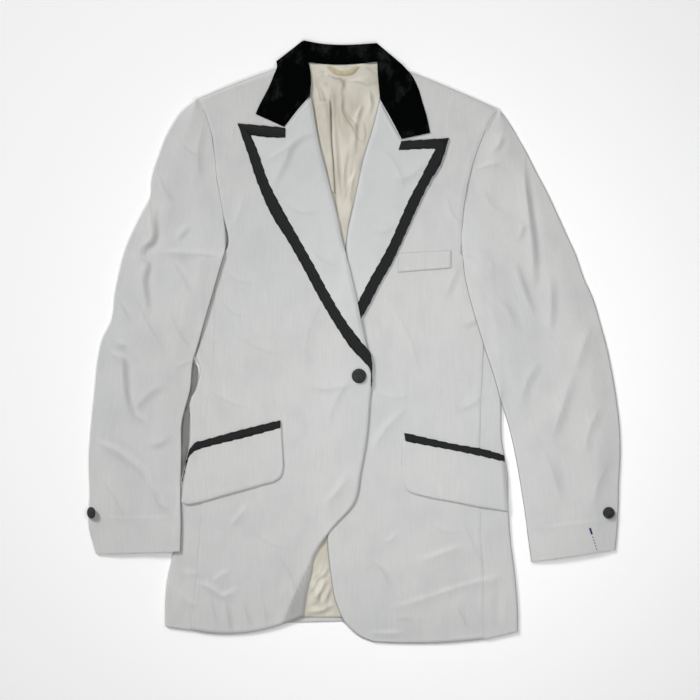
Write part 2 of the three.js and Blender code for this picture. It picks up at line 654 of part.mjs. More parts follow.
layer(
  lay('lapel_braid_left', BRAID, { rows: BRAID_LEFT_ROWS, columns: 1, thick: BRAID_CLOTH }),
  lay('pocket_braid_left', BRAID, { rows: POCKET_BRAID_LEFT_ROWS, columns: 1, thick: BRAID_CLOTH }),
  lay('pocket_braid_right', BRAID, { rows: POCKET_BRAID_RIGHT_ROWS, columns: 1, thick: BRAID_CLOTH }),
);

// A sleeve: an under sleeve on the floor and the body's side, and a top sleeve over it.
// Beside the armhole both lie level with the body. Below it the inner edge lies on the body.
function sleeve(side, outerEdge, armhole, innerEdge, folds) {
  const onLeft = side === 'left';
  const inner = [...armhole, ...innerEdge];
  const rows = onLeft ? rowsBetween(outerEdge, inner) : rowsBetween(inner, outerEdge);
  const columns = 9;
  const lastBeside = armhole.length - 2;
  const fromOuter = (c) => (onLeft ? c / columns : 1 - c / columns);
  const bottom = settle(planOf(rows, columns, 0), (r) => (r <= lastBeside ? 0 : undefined));
  const raise = (surface, height) => surface.map((row, r) => row.map(({ x, y, z }, c) => (
    { x, y, z: z + height(x, y, r, c) }
  )));
  const underTop = raise(bottom, () => BACK_CLOTH);
  const hollow = (x, y, r, c) => {
    const s = fromOuter(c);
    const atOuter = Math.min(1, s * 4);
    const atInner = r <= lastBeside ? 1 : Math.min(1, (1 - s) * 4);
    const open = Math.min(atOuter, atInner);
    return mix(CLEAR, SLEEVE_HOLLOW + foldHeight(folds, x, y), open);
  };
  const topBottom = raise(underTop, hollow);
  const topTop = raise(topBottom, () => FRONT_CLOTH);
  addMesh(`sleeve_${side}_under`, wall(underTop, bottom), LINEN);
  addMesh(`sleeve_${side}_top`, wall(topTop, topBottom), LINEN);
  return topTop;
}
layer(
  sleeve('left', SLEEVE_LEFT_OUTER, ARMHOLE_LEFT, SLEEVE_LEFT_INNER, FOLDS_LEFT_SLEEVE),
  sleeve('right', SLEEVE_RIGHT_OUTER, ARMHOLE_RIGHT, SLEEVE_RIGHT_INNER, FOLDS_RIGHT_SLEEVE),
);

// A cloth-covered button: a flat back, a rounded rim and a low dome.
// It leans with the cloth under it, unless its lean and seat are given.
function button(name, { x, y, radius, height, lean, seat }) {
  const rim = height * 0.45;
  const rise = pile.highest(x + radius, y, 0) - pile.highest(x - radius, y, 0);
  const slope = lean === undefined ? rise / (2 * radius) : Math.tan(THREE.MathUtils.degToRad(lean));
  const spots = [[-1, 0], [-0.5, 0], [0, 0], [0.5, 0], [1, 0], [0, -1], [0, 1]];
  const seatOf = ([across, along]) => (
    pile.highest(x + across * radius, y + along * radius, 0) - slope * across * radius
  );
  const profile = [
    new THREE.Vector2(0, 0),
    new THREE.Vector2(radius * 0.78, 0),
    new THREE.Vector2(radius * 0.96, rim * 0.45),
    new THREE.Vector2(radius, rim),
    new THREE.Vector2(radius * 0.88, height * 0.72),
    new THREE.Vector2(radius * 0.55, height * 0.93),
    new THREE.Vector2(0, height),
  ];
  const geometry = new THREE.LatheGeometry(profile, 20).rotateX(Math.PI / 2);
  addMesh(name, geometry, COVERED_BUTTON);
  const mesh = jacket.children[jacket.children.length - 1];
  mesh.position.set(x, y, seat ?? Math.max(...spots.map(seatOf)) + CLEAR);
  mesh.rotation.y = -Math.atan(slope);
}
button('front_button', FRONT_BUTTON);
button('cuff_button_right', CUFF_BUTTON_RIGHT);
button('cuff_button_left', CUFF_BUTTON_LEFT);

export default jacket;
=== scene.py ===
"""An off-white linen dinner jacket, laid flat on its back and buttoned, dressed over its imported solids.

The plan tables are in millimetres, as those of the solids are. A height map of the cloth laid so far lets
each piece down on the pile; meshes are made in metres. +Y points to the collar and +Z up out of the fronts.
"""

import logging
import math
from collections.abc import Sequence
from dataclasses import dataclass, field
from enum import Enum

import bmesh
import bpy
import numpy as np
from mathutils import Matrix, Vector


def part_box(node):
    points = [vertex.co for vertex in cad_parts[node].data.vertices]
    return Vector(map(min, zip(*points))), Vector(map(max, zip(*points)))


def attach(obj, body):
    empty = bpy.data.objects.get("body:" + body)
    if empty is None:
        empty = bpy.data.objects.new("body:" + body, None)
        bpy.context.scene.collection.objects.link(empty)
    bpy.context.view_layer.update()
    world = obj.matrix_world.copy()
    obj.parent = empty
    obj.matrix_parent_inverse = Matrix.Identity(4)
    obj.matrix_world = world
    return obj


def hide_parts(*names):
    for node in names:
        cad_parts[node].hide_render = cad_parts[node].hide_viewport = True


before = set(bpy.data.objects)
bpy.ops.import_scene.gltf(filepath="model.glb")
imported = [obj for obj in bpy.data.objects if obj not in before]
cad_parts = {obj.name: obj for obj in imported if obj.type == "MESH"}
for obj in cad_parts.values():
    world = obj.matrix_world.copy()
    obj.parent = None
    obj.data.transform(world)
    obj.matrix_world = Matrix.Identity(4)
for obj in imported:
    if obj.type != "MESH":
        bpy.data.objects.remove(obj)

LOG = logging.getLogger("jacket")
MM = 0.001
CLEAR = 0.3
HALF_SEAM = 0.04
LEAST_SHEET = 0.01
# Width in mm over which the painted shade along a cut edge fades out
EDGE_SHADE_WIDTH = 1.8
PANEL_STIFFNESS = 9.0
Point = tuple[float, float]
Colour = tuple[float, float, float]
Array = np.ndarray
Material = bpy.types.Material
Piece = bpy.types.Object
Socket = bpy.types.NodeSocket


class Side(Enum):
    """A side of the jacket, as seen from above."""

    LEFT = "left"
    RIGHT = "right"


class Slot(Enum):
    """The kinds of material that the pieces are made of."""

    CLOTH = "cloth"
    LINING = "lining"
    VELVET = "velvet"
    BRAID = "braid"
    BUTTON = "button"
    TAPE = "tape"


FINISH_NAMES = {Slot.CLOTH: "linen", Slot.LINING: "satin", Slot.VELVET: "velvet", Slot.BRAID: "ribbed",
                Slot.TAPE: "tape"}


@dataclass(frozen=True)
class Row:
    """One line across a piece, from its left edge to its right one, in mm.

    mid is a point that the line passes on its way, and bow how far its middle swings up the plan.
    """

    left: Point
    right: Point
    mid: Point | None = None
    bow: float = 0.0

    @classmethod
    def table(cls, *lines: Sequence[float]) -> list["Row"]:
        """Makes rows from x and y of the left end, of the right end and, where there is one, of mid."""
        return [cls(line[:2], line[2:4], line[4:] or None) for line in lines]


@dataclass(frozen=True)
class Station:
    """One line round a piece that is folded over: its seam, its fold and its edge underneath, in mm."""

    seam: Point
    fold: Point
    under: Point

    @classmethod
    def table(cls, *lines: Sequence[float]) -> list["Station"]:
        """Makes stations from x and y of the seam, of the fold and of the edge underneath."""
        return [cls(line[:2], line[2:4], line[4:]) for line in lines]


@dataclass(frozen=True)
class Crease:
    """A crease of the cloth: a soft ridge with a hollow along one side of it, in mm.

    A height below nought makes a trough. hollow is the share of the height that lies beside the ridge,
    on the left of the path where it is above nought and on the right of it below.
    """

    width: float
    height: float
    hollow: float
    path: Sequence[Point]

    @classmethod
    def table(cls, *lines: Sequence[float]) -> list["Crease"]:
        """Makes creases from width, height, hollow, and then x and y of each point of the path."""
        return [cls(*line[:3], list(zip(line[3::2], line[4::2], strict=True))) for line in lines]


@dataclass(frozen=True)
class Line:
    """A faint line of painted shade where cloth creases or folds, and how strong it is, from nought to one.
    """

    strength: float
    path: Sequence[Point]

    @classmethod
    def table(cls, *lines: Sequence[float]) -> list["Line"]:
        """Makes lines from the strength, and then x and y of each point of the path."""
        return [cls(line[0], list(zip(line[1::2], line[2::2], strict=True))) for line in lines]


@dataclass(frozen=True)
class Edge:
    """How a piece ends: the cloth turns down by drop over the last width mm of it.

    Its last value is how dark the painted shade along its very edge is, from nought to one.
    """

    drop: float = 0.7
    width: float = 2.4
    painted_shade: float = 0.35


# Both armhole seams, from the shoulder point down to the underarm
ARMHOLE_LEFT: list[Point] = [
    (-214, 335), (-203, 309), (-196, 287), (-192, 261), (-188, 222), (-184, 199), (-180, 176), (-177.5, 123),
]
ARMHOLE_RIGHT: list[Point] = [
    (199, 320), (189, 308), (181, 292), (170, 264), (163, 243), (155, 210), (150, 176), (148, 143),
    (149, 119),
]
SIDE_LEFT = Station.table(
    (-190, 110, -211, 110, -181, 110), (-191, 71, -211, 71, -181, 71), (-192, 16, -210, 16, -180, 16),
    (-195, -40, -212, -40, -182, -40), (-202, -87, -225, -87, -194, -87),
    (-205, -135, -226, -135, -196, -135), (-208, -179, -234, -179, -203, -179),
    (-211, -223, -239, -223, -208, -223), (-212, -259, -244, -259, -213, -259),
    (-214, -291, -249, -291, -218, -291), (-217, -328, -257, -328, -226, -328),
    (-221, -362, -260, -362, -229, -362), (-225, -396, -260, -391, -229, -391),
)
SIDE_LEFT_SWAY: list[Point] = [
    (30, 0), (8, -1.5), (-2, -3.6), (-14, -6.6), (-20, -8), (-27, -5.5), (-34, -1.5), (-42, 0.4), (-56, 1.2),
    (-68, 1.6), (-76, -1), (-86, -1.8), (-100, 0),
]
SIDE_RIGHT = Station.table(
    (172, 107, 190, 107, 160, 107), (175, 74, 190, 74, 160, 74), (178, 2, 197, 2, 167, 2),
    (176, -50, 201, -50, 171, -50), (174, -90, 203, -90, 173, -90), (173, -135, 204, -135, 174, -135),
    (172, -183, 212, -183, 181, -183), (174, -227, 213, -227, 182, -227), (175, -273, 216, -273, 185, -273),
    (178, -321, 222, -321, 191, -321), (179, -359, 225, -355, 194, -355), (179, -385, 226, -374, 195, -374),
    (180, -398, 226, -387, 195, -386), (180, -409, 226, -398, 195, -396),
)
FRONT_LEFT_EDGE: list[Point] = [
    (-73, 387), (-66, 364), (-62, 338), (-51, 284), (-36, 222), (-30, 199), (-24, 176), (-11, 123), (-7, 108),
    (1, 71), (13, 16), (25, -40), (22, -87), (18, -135), (10, -179), (0, -223), (-31, -259), (-52, -290),
    (-61, -328), (-67, -358), (-69, -377),
]
FRONT_RIGHT_EDGE: list[Point] = [
    (36, 387), (36, 363), (35, 335), (24, 290), (13, 253), (4, 210), (-5, 176), (-10, 145), (-12, 126),
    (-13, 107), (-14, 74), (-16, 2), (-20, -50), (-23, -90), (-27, -135), (-31, -183), (-35, -227),
    (-37, -269), (-32, -322), (-25, -359), (-11, -388), (6, -404), (27, -413),
]
LINING_ROWS = Row.table(
    (-68, 388, 36, 388), (-203, 322, 188, 309), (-188, 280, 170, 276), (-180, 222, 155, 232),
    (-173, 176, 144, 176), (-168, 123, 142, 121), (-202, 100, 182, 97), (-202, 16, 188, 2),
    (-204, -40, 192, -50), (-217, -90, 194, -90), (-218, -135, 195, -135), (-226, -179, 203, -183),
    (-231, -223, 204, -227), (-241, -291, 208, -285), (-249, -328, 213, -321), (-252, -362, 216, -355),
    (-252, -379, 217, -380),
)
LINING_FOLD_ROWS = Row.table(
    (-55, 330, -33, 332), (-48, 283, -31, 279), (-38, 243, -28, 239), (-31, 207, -26, 204),
)
LAPEL_LEFT_ROWS = Row.table(
    (-160, 300, -59, 337, -95, 294), (-147, 262, -48, 274), (-132, 217, -36, 226), (-111, 170, -23, 174),
    (-91, 139, -16, 140), (-69, 100, -5, 99), (-47, 59, 4, 59), (-21, 16, 13, 15), (-3, -10, 19, -11),
    (17, -31, 24, -33),
)
LAPEL_RIGHT_ROWS = Row.table(
    (35, 331, 131, 280, 65, 277), (24, 290, 119, 244), (13, 254, 105, 221), (4, 213, 91, 193),
    (-3, 180, 77, 162), (-9, 152, 64, 133), (-11, 129, 51, 106), (-12, 101, 36, 80), (-13, 71, 20, 49),
    (-15, 33, 4, 22), (-17, -5, -11, -7),
)
BRAID_LEFT_ROWS = Row.table(
    (-94, 294, -94, 280), (-126, 297, -121, 281), (-160, 300, -142, 284), (-147, 262, -133, 264),
    (-132, 217, -118, 221), (-111, 170, -96, 178), (-91, 139, -78, 146), (-69, 100, -56, 107),
    (-47, 59, -34, 66), (-21, 16, -9, 25), (-3, -10, 10, 0), (17, -31, 24, -20), (21.6, -37, 25.2, -31),
    (23.4, -46, 25.1, -45), (23.3, -62, 24.5, -62),
)
BRAID_RIGHT_ROWS = Row.table(
    (61, 263, 65, 276), (98, 265, 101, 278), (112, 265, 131, 280), (103, 248, 119, 244), (91, 224, 105, 221),
    (77, 198, 91, 193), (63, 167, 77, 162), (51, 139, 64, 133), (38, 114, 51, 106), (23, 88, 36, 80),
    (7, 57, 20, 49), (-7, 31, 4, 22),
)
COLLAR_LEFT_ROWS = Row.table(
    (-107, 386, -70.5, 415), (-106, 379, -70, 407), (-110, 367, -64, 390), (-118, 348, -59, 364),
    (-126, 333, -60, 338.5), (-131, 323, -78.5, 317.5), (-135.3, 313, -95.6, 295.2),
)
COLLAR_RIGHT_ROWS = Row.table(
    (32, 411, 66, 382), (32, 403, 71, 376), (32, 386, 79, 367), (33, 363, 88, 349), (36, 332.5, 94, 330),
    (51, 306.5, 100, 310), (65.5, 278.6, 105, 287),
)
COLLAR_BACK_ROWS = Station.table(
    (-62.5, 384.5, -69.3, 415, -102, 384), (-44, 382.5, -47, 411, -70, 364), (-16, 381.5, -16, 409, -18, 358),
    (11, 383, 11, 410, 32, 363), (31.8, 385.5, 31.6, 411.3, 61, 380),
)
SLEEVE_LEFT_OUTER: list[Point] = [
    (-220, 331), (-238, 316), (-257, 286), (-267, 261), (-279, 222), (-281, 198), (-293, 175), (-316, 123),
    (-323, 96), (-329, 67), (-334, 30), (-347, 2), (-353, -27), (-357, -66), (-361, -106), (-365, -156),
    (-364, -211), (-365, -256), (-355, -292),
]
SLEEVE_LEFT_INNER: list[Point] = [
    (-184, 99), (-195, 61), (-205, 27), (-213, -2), (-221, -28), (-225, -66), (-236, -109), (-237, -153),
    (-238, -207), (-237, -253), (-238, -288),
]
# How much further the left under sleeve reaches past the inner edge, by y, in mm: a strip painted in shade
# that fills the gap beside the body
SLEEVE_LEFT_UNDER_REACH: list[Point] = [
    (-10, 0), (-20, 1.5), (-28, 5), (-34, 9.5), (-42, 11.5), (-56, 11), (-68, 9), (-76, 6), (-86, 6),
    (-100, 11), (-109, 12.3), (-121, 13.2), (-135, 13), (-150, 11), (-165, 8), (-179, 5), (-192, 2),
    (-205, 0),
]
SLEEVE_RIGHT_OUTER: list[Point] = [
    (204, 315), (213, 303), (226, 281), (239, 258), (250, 236), (264, 210), (280, 176), (294, 145),
    (305, 121), (316, 89), (329, 60), (340, 23), (349, -11), (356, -46), (362, -83), (366, -119), (367, -156),
    (365, -196), (364, -234), (362, -267), (360, -286),
]
SLEEVE_RIGHT_INNER: list[Point] = [
    (152, 90), (159, 59), (169, 24), (180, -11), (191, -44), (202, -82), (213, -117), (222, -156),
    (229, -196), (235, -234), (240, -273), (244, -303),
]
WELT_ROWS = Row.table(
    (61, 122, 134, 126), (60, 95, 134, 101),
)
FLAP_LEFT_ROWS = Row.table(
    (-230, -165, -238, -220), (-226, -156, -231, -223), (-214, -145, -215, -221), (-183, -135, -183, -212),
    (-151, -127, -152, -203.5), (-120, -119.5, -122, -195), (-106, -116, -108.5, -191),
    (-101.5, -115, -100.5, -184), (-100, -117, -97.5, -172),
)
FLAP_RIGHT_ROWS = Row.table(
    (67.3, -141, 66.6, -172), (68.2, -134.5, 68.2, -190), (70, -134, 71.2, -201), (75, -134.5, 77, -206.3),
    (86, -136, 87, -209.6), (102, -138, 100, -213), (140, -145, 138, -220), (176, -152, 173, -227),
    (207, -163, 213, -233),
)
POCKET_BRAID_LEFT_ROWS = Row.table(
    (-236.2, -192, -235.4, -192), (-232.3, -172, -230.8, -171), (-229, -157, -226.3, -158),
    (-226, -149, -222.5, -153), (-220, -140.5, -217, -149.5), (-204, -135, -203, -144.8),
    (-183, -129, -183, -139.6), (-151.5, -120.5, -151.5, -132), (-101, -108, -101, -118.4),
)
POCKET_BRAID_RIGHT_ROWS = Row.table(
    (69, -125, 71, -137), (103, -133, 103, -143), (140, -141, 140, -150), (179, -148, 178, -158),
    (206.5, -156, 207.5, -165),
)
HANGER_ROWS = Row.table(
    (-38, 378, -32, 379), (-29, 370, -25, 375), (-14, 366, -13, 372), (-1, 369, -4, 375), (8, 378, 3, 379),
)
# The strip of the left front by its hem that is sunk a little and painted in shade
FACING_ROWS = Row.table(
    (-52, -289, -50, -289), (-58.5, -303, -56.5, -303), (-65, -320, -60, -320), (-73, -337, -63.5, -338),
    (-82, -354, -66.5, -356), (-90, -371, -68.5, -370), (-99, -392, -69.5, -378),
)
# A painted shadow line along one edge of that strip
FACING_LINES = Line.table(
    (0.45, -53, -290, -60, -305, -67, -320, -75, -337, -83, -354, -90, -369, -96, -384),
)
# Painted fold shadows in the lining: thin dark lines where its sharp folds lie in shade
LINING_FOLD_SHADOWS = Line.table(
    (0.42, -54, 357, -48, 344, -46, 332, -40, 314, -34, 304),
    (0.75, -32.4, 340, -31.9, 304, -30.4, 271, -28.3, 246, -26.9, 221, -25.4, 196, -22.4, 169),
    (0.55, -35, 366.5, -26, 362, -18, 360.6, -15, 356.5, -17.4, 347),
    (0.42, -17.4, 349, -15.8, 332, -15.8, 317, -10.8, 307, -2.4, 296, 4.2, 281, 12.6, 274),
    (0.5, 23.4, 344, 23.6, 329), (0.5, 12.6, 326, 5, 310), (0.25, -8, 357, 4, 357.5, 19, 353, 32, 357),
    (0.25, -2, 249, -7.4, 214, -15.8, 190), (0.4, 14, 300, 16, 286, 13, 272), (0.4, -54, 321, -47.5, 302),
    (0.22, -47, 371, -42, 372, -43, 366, -47, 364), (0.22, -41, 352, -38, 356, -36, 350),
    (0.25, 16, 378, 24, 373, 31, 366), (0.22, -22, 322, -21, 306, -18, 290),
    (0.4, -48, -326, -54, -338, -60, -346), (0.35, -36, -330, -42, -344, -52, -352),
    (0.35, -46, -350, -52, -360, -60, -364), (0.3, -34, -346, -40, -358, -46, -368),
    (0.25, -30, -366, -38, -374, -50, -376), (0.3, -40, -306, -46, -318, -56, -326),
)

# Creases of the fronts, from the shoulders to the hem, laid after the photographed jacket
FRONT_CREASES = Crease.table(
    (3.6, 1.4, 0.4, -207, 17, -198, 6, -189, -3), (3.6, 1.3, 0.4, -236, -317, -222, -319, -213, -321),
    (3.6, 1.8, 0.4, -249, -329, -240, -347, -228, -358, -214, -364),
    (4.1, 2.3, 0.4, -217, -332, -198, -339, -180, -350, -161, -341),
    (4.1, 2.6, 0.4, -178, -355, -174, -374, -170, -396), (3.6, 2.2, 0.4, -154, -355, -148, -372, -143, -389),
    (3.6, 1.5, 0.4, -196, -352, -192, -372, -186, -390), (3.6, 1.3, 0.4, -126, -352, -122, -370, -120, -392),
    (5.2, 2.1, 0.4, -168, -252, -155, -238, -145, -226), (4.7, 1.5, 0.4, -193, -332, -182, -322, -170, -316),
    (5.2, 1.3, 0.4, -100, -300, -86, -322, -80, -352), (3.6, 1.7, 0.4, -60, -300, -58, -326, -66, -352),
    (4.1, -1.3, 0.4, -53, -290, -64, -311, -76, -330, -86, -366),
    (6.2, 1.3, 0.4, -44, -228, -22, -206, -6, -182), (6.8, 2.3, 0.4, 26, -150, 46, -118, 70, -94),
    (4.1, 1.4, 0.4, 44, -278, 52, -272, 60, -264), (4.1, 2.4, 0.4, 22, -300, 38, -313, 48, -333),
    (4.2, 1.3, 0.4, 54, -368, 104, -352, 145, -338, 174, -330, 210, -321),
    (4.7, 1.5, 0.4, 92, -302, 120, -292, 146, -283), (3.6, 1.7, 0.4, 141, -364, 148, -376, 154, -390),
    (4.1, 1.5, 0.4, 26, -402, 46, -402, 66, -401), (3.6, -1.8, 0.4, 198, -334, 201, -356, 200, -384),
    (5.2, 1.1, 0.4, 152, -250, 162, -274, 172, -300), (4.7, 1.4, 0.4, 146, 102, 134, 80, 126, 60),
    (6.2, 1.3, 0.4, 150, 160, 136, 176, 128, 200), (6.2, 1.3, 0.4, -172, 150, -158, 172, -150, 200),
    (4.7, 1.4, 0.4, -178, 96, -160, 84, -140, 80), (4.7, 1.1, 0.4, -184, 58, -168, 40, -150, 34),
    (4.7, 1.3, 0.4, 178, 40, 160, 26, 144, 22), (6.8, 0.9, 0.4, -166, 10, -130, -10, -98, -18),
    (7.8, 1.1, 0.4, -40, 60, -60, 20, -66, -30), (7.8, 1.1, 0.4, 60, 40, 80, 0, 90, -40),
    (4.7, 1.3, 0.4, -196, -70, -170, -84, -150, -90), (4.7, 1.1, 0.4, 182, -70, 160, -88, 142, -94),
    (4.1, 1.3, 0.4, -10, -60, -34, -66, -62, -62), (4.7, 1.1, 0.4, -6, -54, -26, -84, -34, -120),
    (4.7, 0.8, 0.4, 30, -70, 52, -78, 80, -74), (5.7, 0.9, 0.4, -140, -262, -110, -280, -90, -284),
    (5.7, 0.8, 0.4, 104, -250, 128, -262, 150, -262),
)

# Darts and seams that are sewn inside a front: a narrow trough with a soft ridge beside it
FRONT_SEAMS = Crease.table(
    (1.5, -0.6, 0.3, -143, 57, -142, 0, -145, -60, -152, -116),
    (1.4, -0.5, 0.3, 174, -50, 160, -66, 146, -87, 143, -108, 147, -128),
    (1.5, -0.35, 0.3, 82, 70, 78, 10, 76, -50, 82, -122),
)

LAPEL_CREASES = Crease.table(
    (4.6, 2.3, 0.4, -56, 287, -84, 273, -92, 252, -110, 215), (4, 1.8, 0.4, -118, 248, -94, 264, -71, 278),
    (6.6, 1.3, 0.4, -96, 190, -70, 176, -44, 180), (6.1, 1.1, 0.4, -60, 130, -44, 112, -24, 104),
    (5, 1.4, 0.4, 96, 244, 76, 226, 56, 222), (5, 1.1, 0.4, 44, 262, 60, 240, 70, 210),
    (5.5, 1.1, 0.4, 60, 160, 40, 150, 22, 152),
)

COLLAR_CREASES = Crease.table(
    (8, 0.8, 0.4, -98, 374, -84, 366, -74, 350), (8, 0.8, 0.4, 60, 372, 70, 352, 72, 330),
    (9, 0.5, 0.4, -118, 330, -104, 336, -92, 352), (9, 0.5, 0.4, 46, 380, 50, 352, 58, 322),
)

LINING_CREASES = Crease.table(
    (2.9, 3.6, 0.4, -55, 361, -46, 342, -40, 318, -38, 280),
    (2.9, 3.5, 0.4, -38, 368, -24, 362, -15, 357, -18, 346),
    (3, 3.7, 0.4, -16, 342, -15, 313, -1, 299, 0, 262), (2.9, 2.9, 0.4, 14, 325, 6, 311, 2, 292),
    (2.9, 2.9, 0.4, 23, 342, 24, 330, 20, 312), (2.9, 2.5, 0.4, -5, 358, 12, 359, 28, 356),
    (3.3, 3.1, 0.4, -28, 312, -26, 270, -22, 226, -18, 186), (2.9, 2.5, 0.4, -10, 262, -14, 228, -12, 192),
    (2.9, 2.2, 0.4, -30, 340, -28, 322, -30, 300), (2.9, 2.2, 0.4, 4, 240, -4, 214, -6, 180),
    (2.9, 3.5, 0.4, -40, -328, -46, -342, -54, -356), (2.9, 2.9, 0.4, -32, -336, -38, -352, -40, -370),
    (2.9, 2.5, 0.4, -58, -332, -50, -352, -48, -372), (2.9, 2.4, 0.4, -30, -362, -44, -370, -60, -372),
    (2.9, 2.2, 0.4, -36, -308, -40, -318, -50, -326),
)

SLEEVE_LEFT_CREASES = Crease.table(
    (4.8, 3.2, 0.4, -269, 236, -262, 214, -250, 194),
    (5.4, 5.3, 0.6, -281, 195, -277, 165, -277, 142, -292, 127, -294, 115),
    (4.8, 4.5, 0.6, -294, 115, -286, 109, -289, 87, -283, 47),
    (4.8, 3.1, 0.4, -261, 122, -222, 120, -182, 116), (4.2, 2.7, 0.4, -248, 110, -236, 90, -224, 70),
    (3.8, 2.6, 0.4, -227, 158, -236, 148, -242, 140), (4.2, 3.1, 0.4, -324, 57, -316, 44, -308, 30),
    (4.8, 4.7, 0.6, -341, -14, -320, -25, -316, -53, -313, -79, -303, -101, -288, -109),
    (3.8, 2.7, 0.4, -330, 1, -322, -3, -313, -6), (3.8, 2.7, 0.4, -244, -35, -232, -31, -221, -27),
    (5.4, 4.1, 0.5, -358, -138, -329, -150, -311, -163, -297, -176, -287, -193),
    (4.8, 3.4, 0.5, -287, -193, -276, -208, -269, -223, -255, -230),
    (5.4, 1.9, 0.4, -240, 276, -226, 262, -212, 256), (5.4, 1.6, 0.4, -206, 300, -214, 262, -212, 226),
    (8, 1.9, 0.4, -300, 60, -280, 20, -262, -10), (5.9, 2, 0.4, -262, -60, -282, -72, -300, -92),
    (5.4, 1.9, 0.4, -250, -130, -268, -140, -282, -142), (6.4, 1.6, 0.4, -346, -190, -330, -214, -316, -240),
    (4.8, 2, 0.4, -252, 40, -240, 12, -226, -6), (3.6, 0.5, 0.8, -357, -243, -300, -244, -241, -245),
)

SLEEVE_RIGHT_CREASES = Crease.table(
    (4.2, 2.2, 0.4, 204, 284, 200, 272, 193, 262), (4.2, 2.1, 0.4, 169, 235, 184, 242, 200, 244),
    (5.4, 3.9, 0.6, 237, 257, 236, 217, 240, 180, 246, 130, 248, 88),
    (4.2, 2.2, 0.4, 234, 162, 231, 151, 227, 142), (5.4, 2.9, 0.4, 222, 105, 234, 70, 248, 37),
    (5.4, 2.6, 0.4, 271, 87, 272, 52, 271, 18), (5.4, 1.8, 0.4, 198, 60, 212, 44, 222, 20),
    (7.4, 2.2, 0.4, 300, -50, 288, -88, 274, -130), (7, 1.8, 0.4, 330, 20, 316, -6, 306, -40),
    (5.9, 1.7, 0.4, 254, -30, 240, -52, 232, -80), (7, 1.7, 0.4, 340, -90, 326, -116, 318, -150),
    (6.4, 1.6, 0.4, 262, -150, 276, -184, 284, -214), (5.9, 1.3, 0.4, 350, -170, 336, -196, 330, -222),
    (5.4, 1.6, 0.4, 178, 206, 190, 188, 206, 178), (3.6, 0.5, 0.8, 238, -262, 300, -252, 359, -247),
)

BACK_CREASES = Crease.table(
    (12, 0.7, 0.4, -150, 250, -110, 236, -60, 240), (12, 0.7, 0.4, 120, 240, 80, 226, 36, 232),
    (11, 0.8, 0.4, -160, 20, -120, 8, -70, 14), (11, 0.8, 0.4, 150, 10, 110, -4, 60, 4),
    (12, 0.7, 0.4, -190, -200, -150, -226, -110, -230), (12, 0.7, 0.4, 160, -220, 120, -244, 80, -250),
    (10, 0.9, 0.4, -110, -320, -96, -348, -90, -376), (10, 0.9, 0.4, 80, -330, 92, -356, 96, -380),
)


def lengths_along(points: Array) -> Array:
    """Measures a line of points."""
    steps = np.linalg.norm(np.diff(points, axis=0), axis=-1)
    return np.concatenate([[0.0], np.cumsum(steps)])


def lengths_across(points: Array) -> Array:
    """Measures each row of a grid of points, from its first point to every other."""
    return np.pad(np.cumsum(np.linalg.norm(np.diff(points, axis=1), axis=-1), axis=1), ((0, 0), (1, 0)))


def raised_to(places: Array, height: Array) -> Array:
    """Gives places in the plan their height."""
    return np.concatenate([places, height[..., None]], axis=-1)


def thickened_rows(rows: Array) -> Array:
    """Adds points a little above and a little below each row, so that no square is left out.

    Args:
        rows: Points of shape (rows, columns, 2), in mm.

    Returns:
        Three rows for each one.
    """
    rows = np.repeat(rows, 3, axis=0)
    rows[1::3, :, 1] += 1.1
    rows[2::3, :, 1] -= 1.1
    return rows


def shifts_at(table: Sequence[Point], ys: Array) -> Array:
    """Reads how far an edge is shifted at each y from a table of y and shift; no table shifts nothing.

    Args:
        table: The table.
        ys: The places, in mm.

    Returns:
        The shift at each, in mm.
    """
    if not table:
        return np.zeros(len(ys))
    places, shifts = zip(*sorted(table), strict=True)
    return np.interp(ys, places, shifts)


def spline(points: Array, knots: Array, at: Array, corners: Sequence[int] = ()) -> Array:
    """Follows points on a smooth curve, which is sharp only at its corners.

    Args:
        points: The points, along the first axis.
        knots: The place of each point along the curve.
        at: The places that are wanted.
        corners: The numbers of the points where the curve turns sharply.

    Returns:
        A point for each place.
    """
    last = len(points) - 1
    gaps = np.diff(knots)
    shape = (-1,) + (1,) * (points.ndim - 1)
    slopes = np.diff(points, axis=0) / gaps.reshape(shape)
    leaving = slopes.copy()
    arriving = slopes.copy()
    for k in range(1, last):
        if k in corners:
            continue
        before, after = gaps[k - 1], gaps[k]
        tangent = (slopes[k - 1] * after + slopes[k] * before) / (before + after)
        leaving[k] = tangent
        arriving[k - 1] = tangent
    index = np.clip(np.searchsorted(knots, at, side="right") - 1, 0, last - 1)
    gap = gaps[index].reshape(shape)
    s = ((at - knots[index]) / gaps[index]).reshape(shape)
    start = points[index] * (2 * s**3 - 3 * s**2 + 1) + gap * leaving[index] * (s**3 - 2 * s**2 + s)
    return start + points[index + 1] * (3 * s**2 - 2 * s**3) + gap * arriving[index] * (s**3 - s**2)


def bent(path: Sequence[Point], step: float) -> Array:
    """Follows a path on a smooth curve, in at least six steps.

    Args:
        path: The path, in mm.
        step: The length of a step.

    Returns:
        Its points.
    """
    table = np.array(path, float)
    knots = lengths_along(table)
    return spline(table, knots, np.linspace(0.0, knots[-1], max(6, int(knots[-1] / step)) + 1))


def lines_over(length: float, step: float, closer: Sequence[Point] = ()) -> Array:
    """Shares a length out into steps, with closer ones at both ends, where the cloth turns down.

    Args:
        length: The length, in mm.
        step: The step between two lines, in mm.
        closer: Stretches with lines three times as close, each from its start to its end, in mm.

    Returns:
        The place of each line, in mm.
    """
    margin = [0.0, 0.7, 1.6, 2.8]
    if length < 4 * margin[-1]:
        return np.linspace(0.0, length, max(4, round(length / 0.9)) + 1)
    even = np.linspace(margin[-1], length - margin[-1], 2000)
    crowd = np.ones(even.shape)
    for start, end in closer:
        crowd += 2.0 * ((even > start) & (even < end))
    count = np.cumsum(crowd)
    number = max(2, round((length - 2 * margin[-1]) / step * crowd.mean()))
    inside = np.interp(np.linspace(count[0], count[-1], number + 1), count, even)
    return np.concatenate([margin[:-1], inside, length - np.array(margin[:-1])[::-1]])


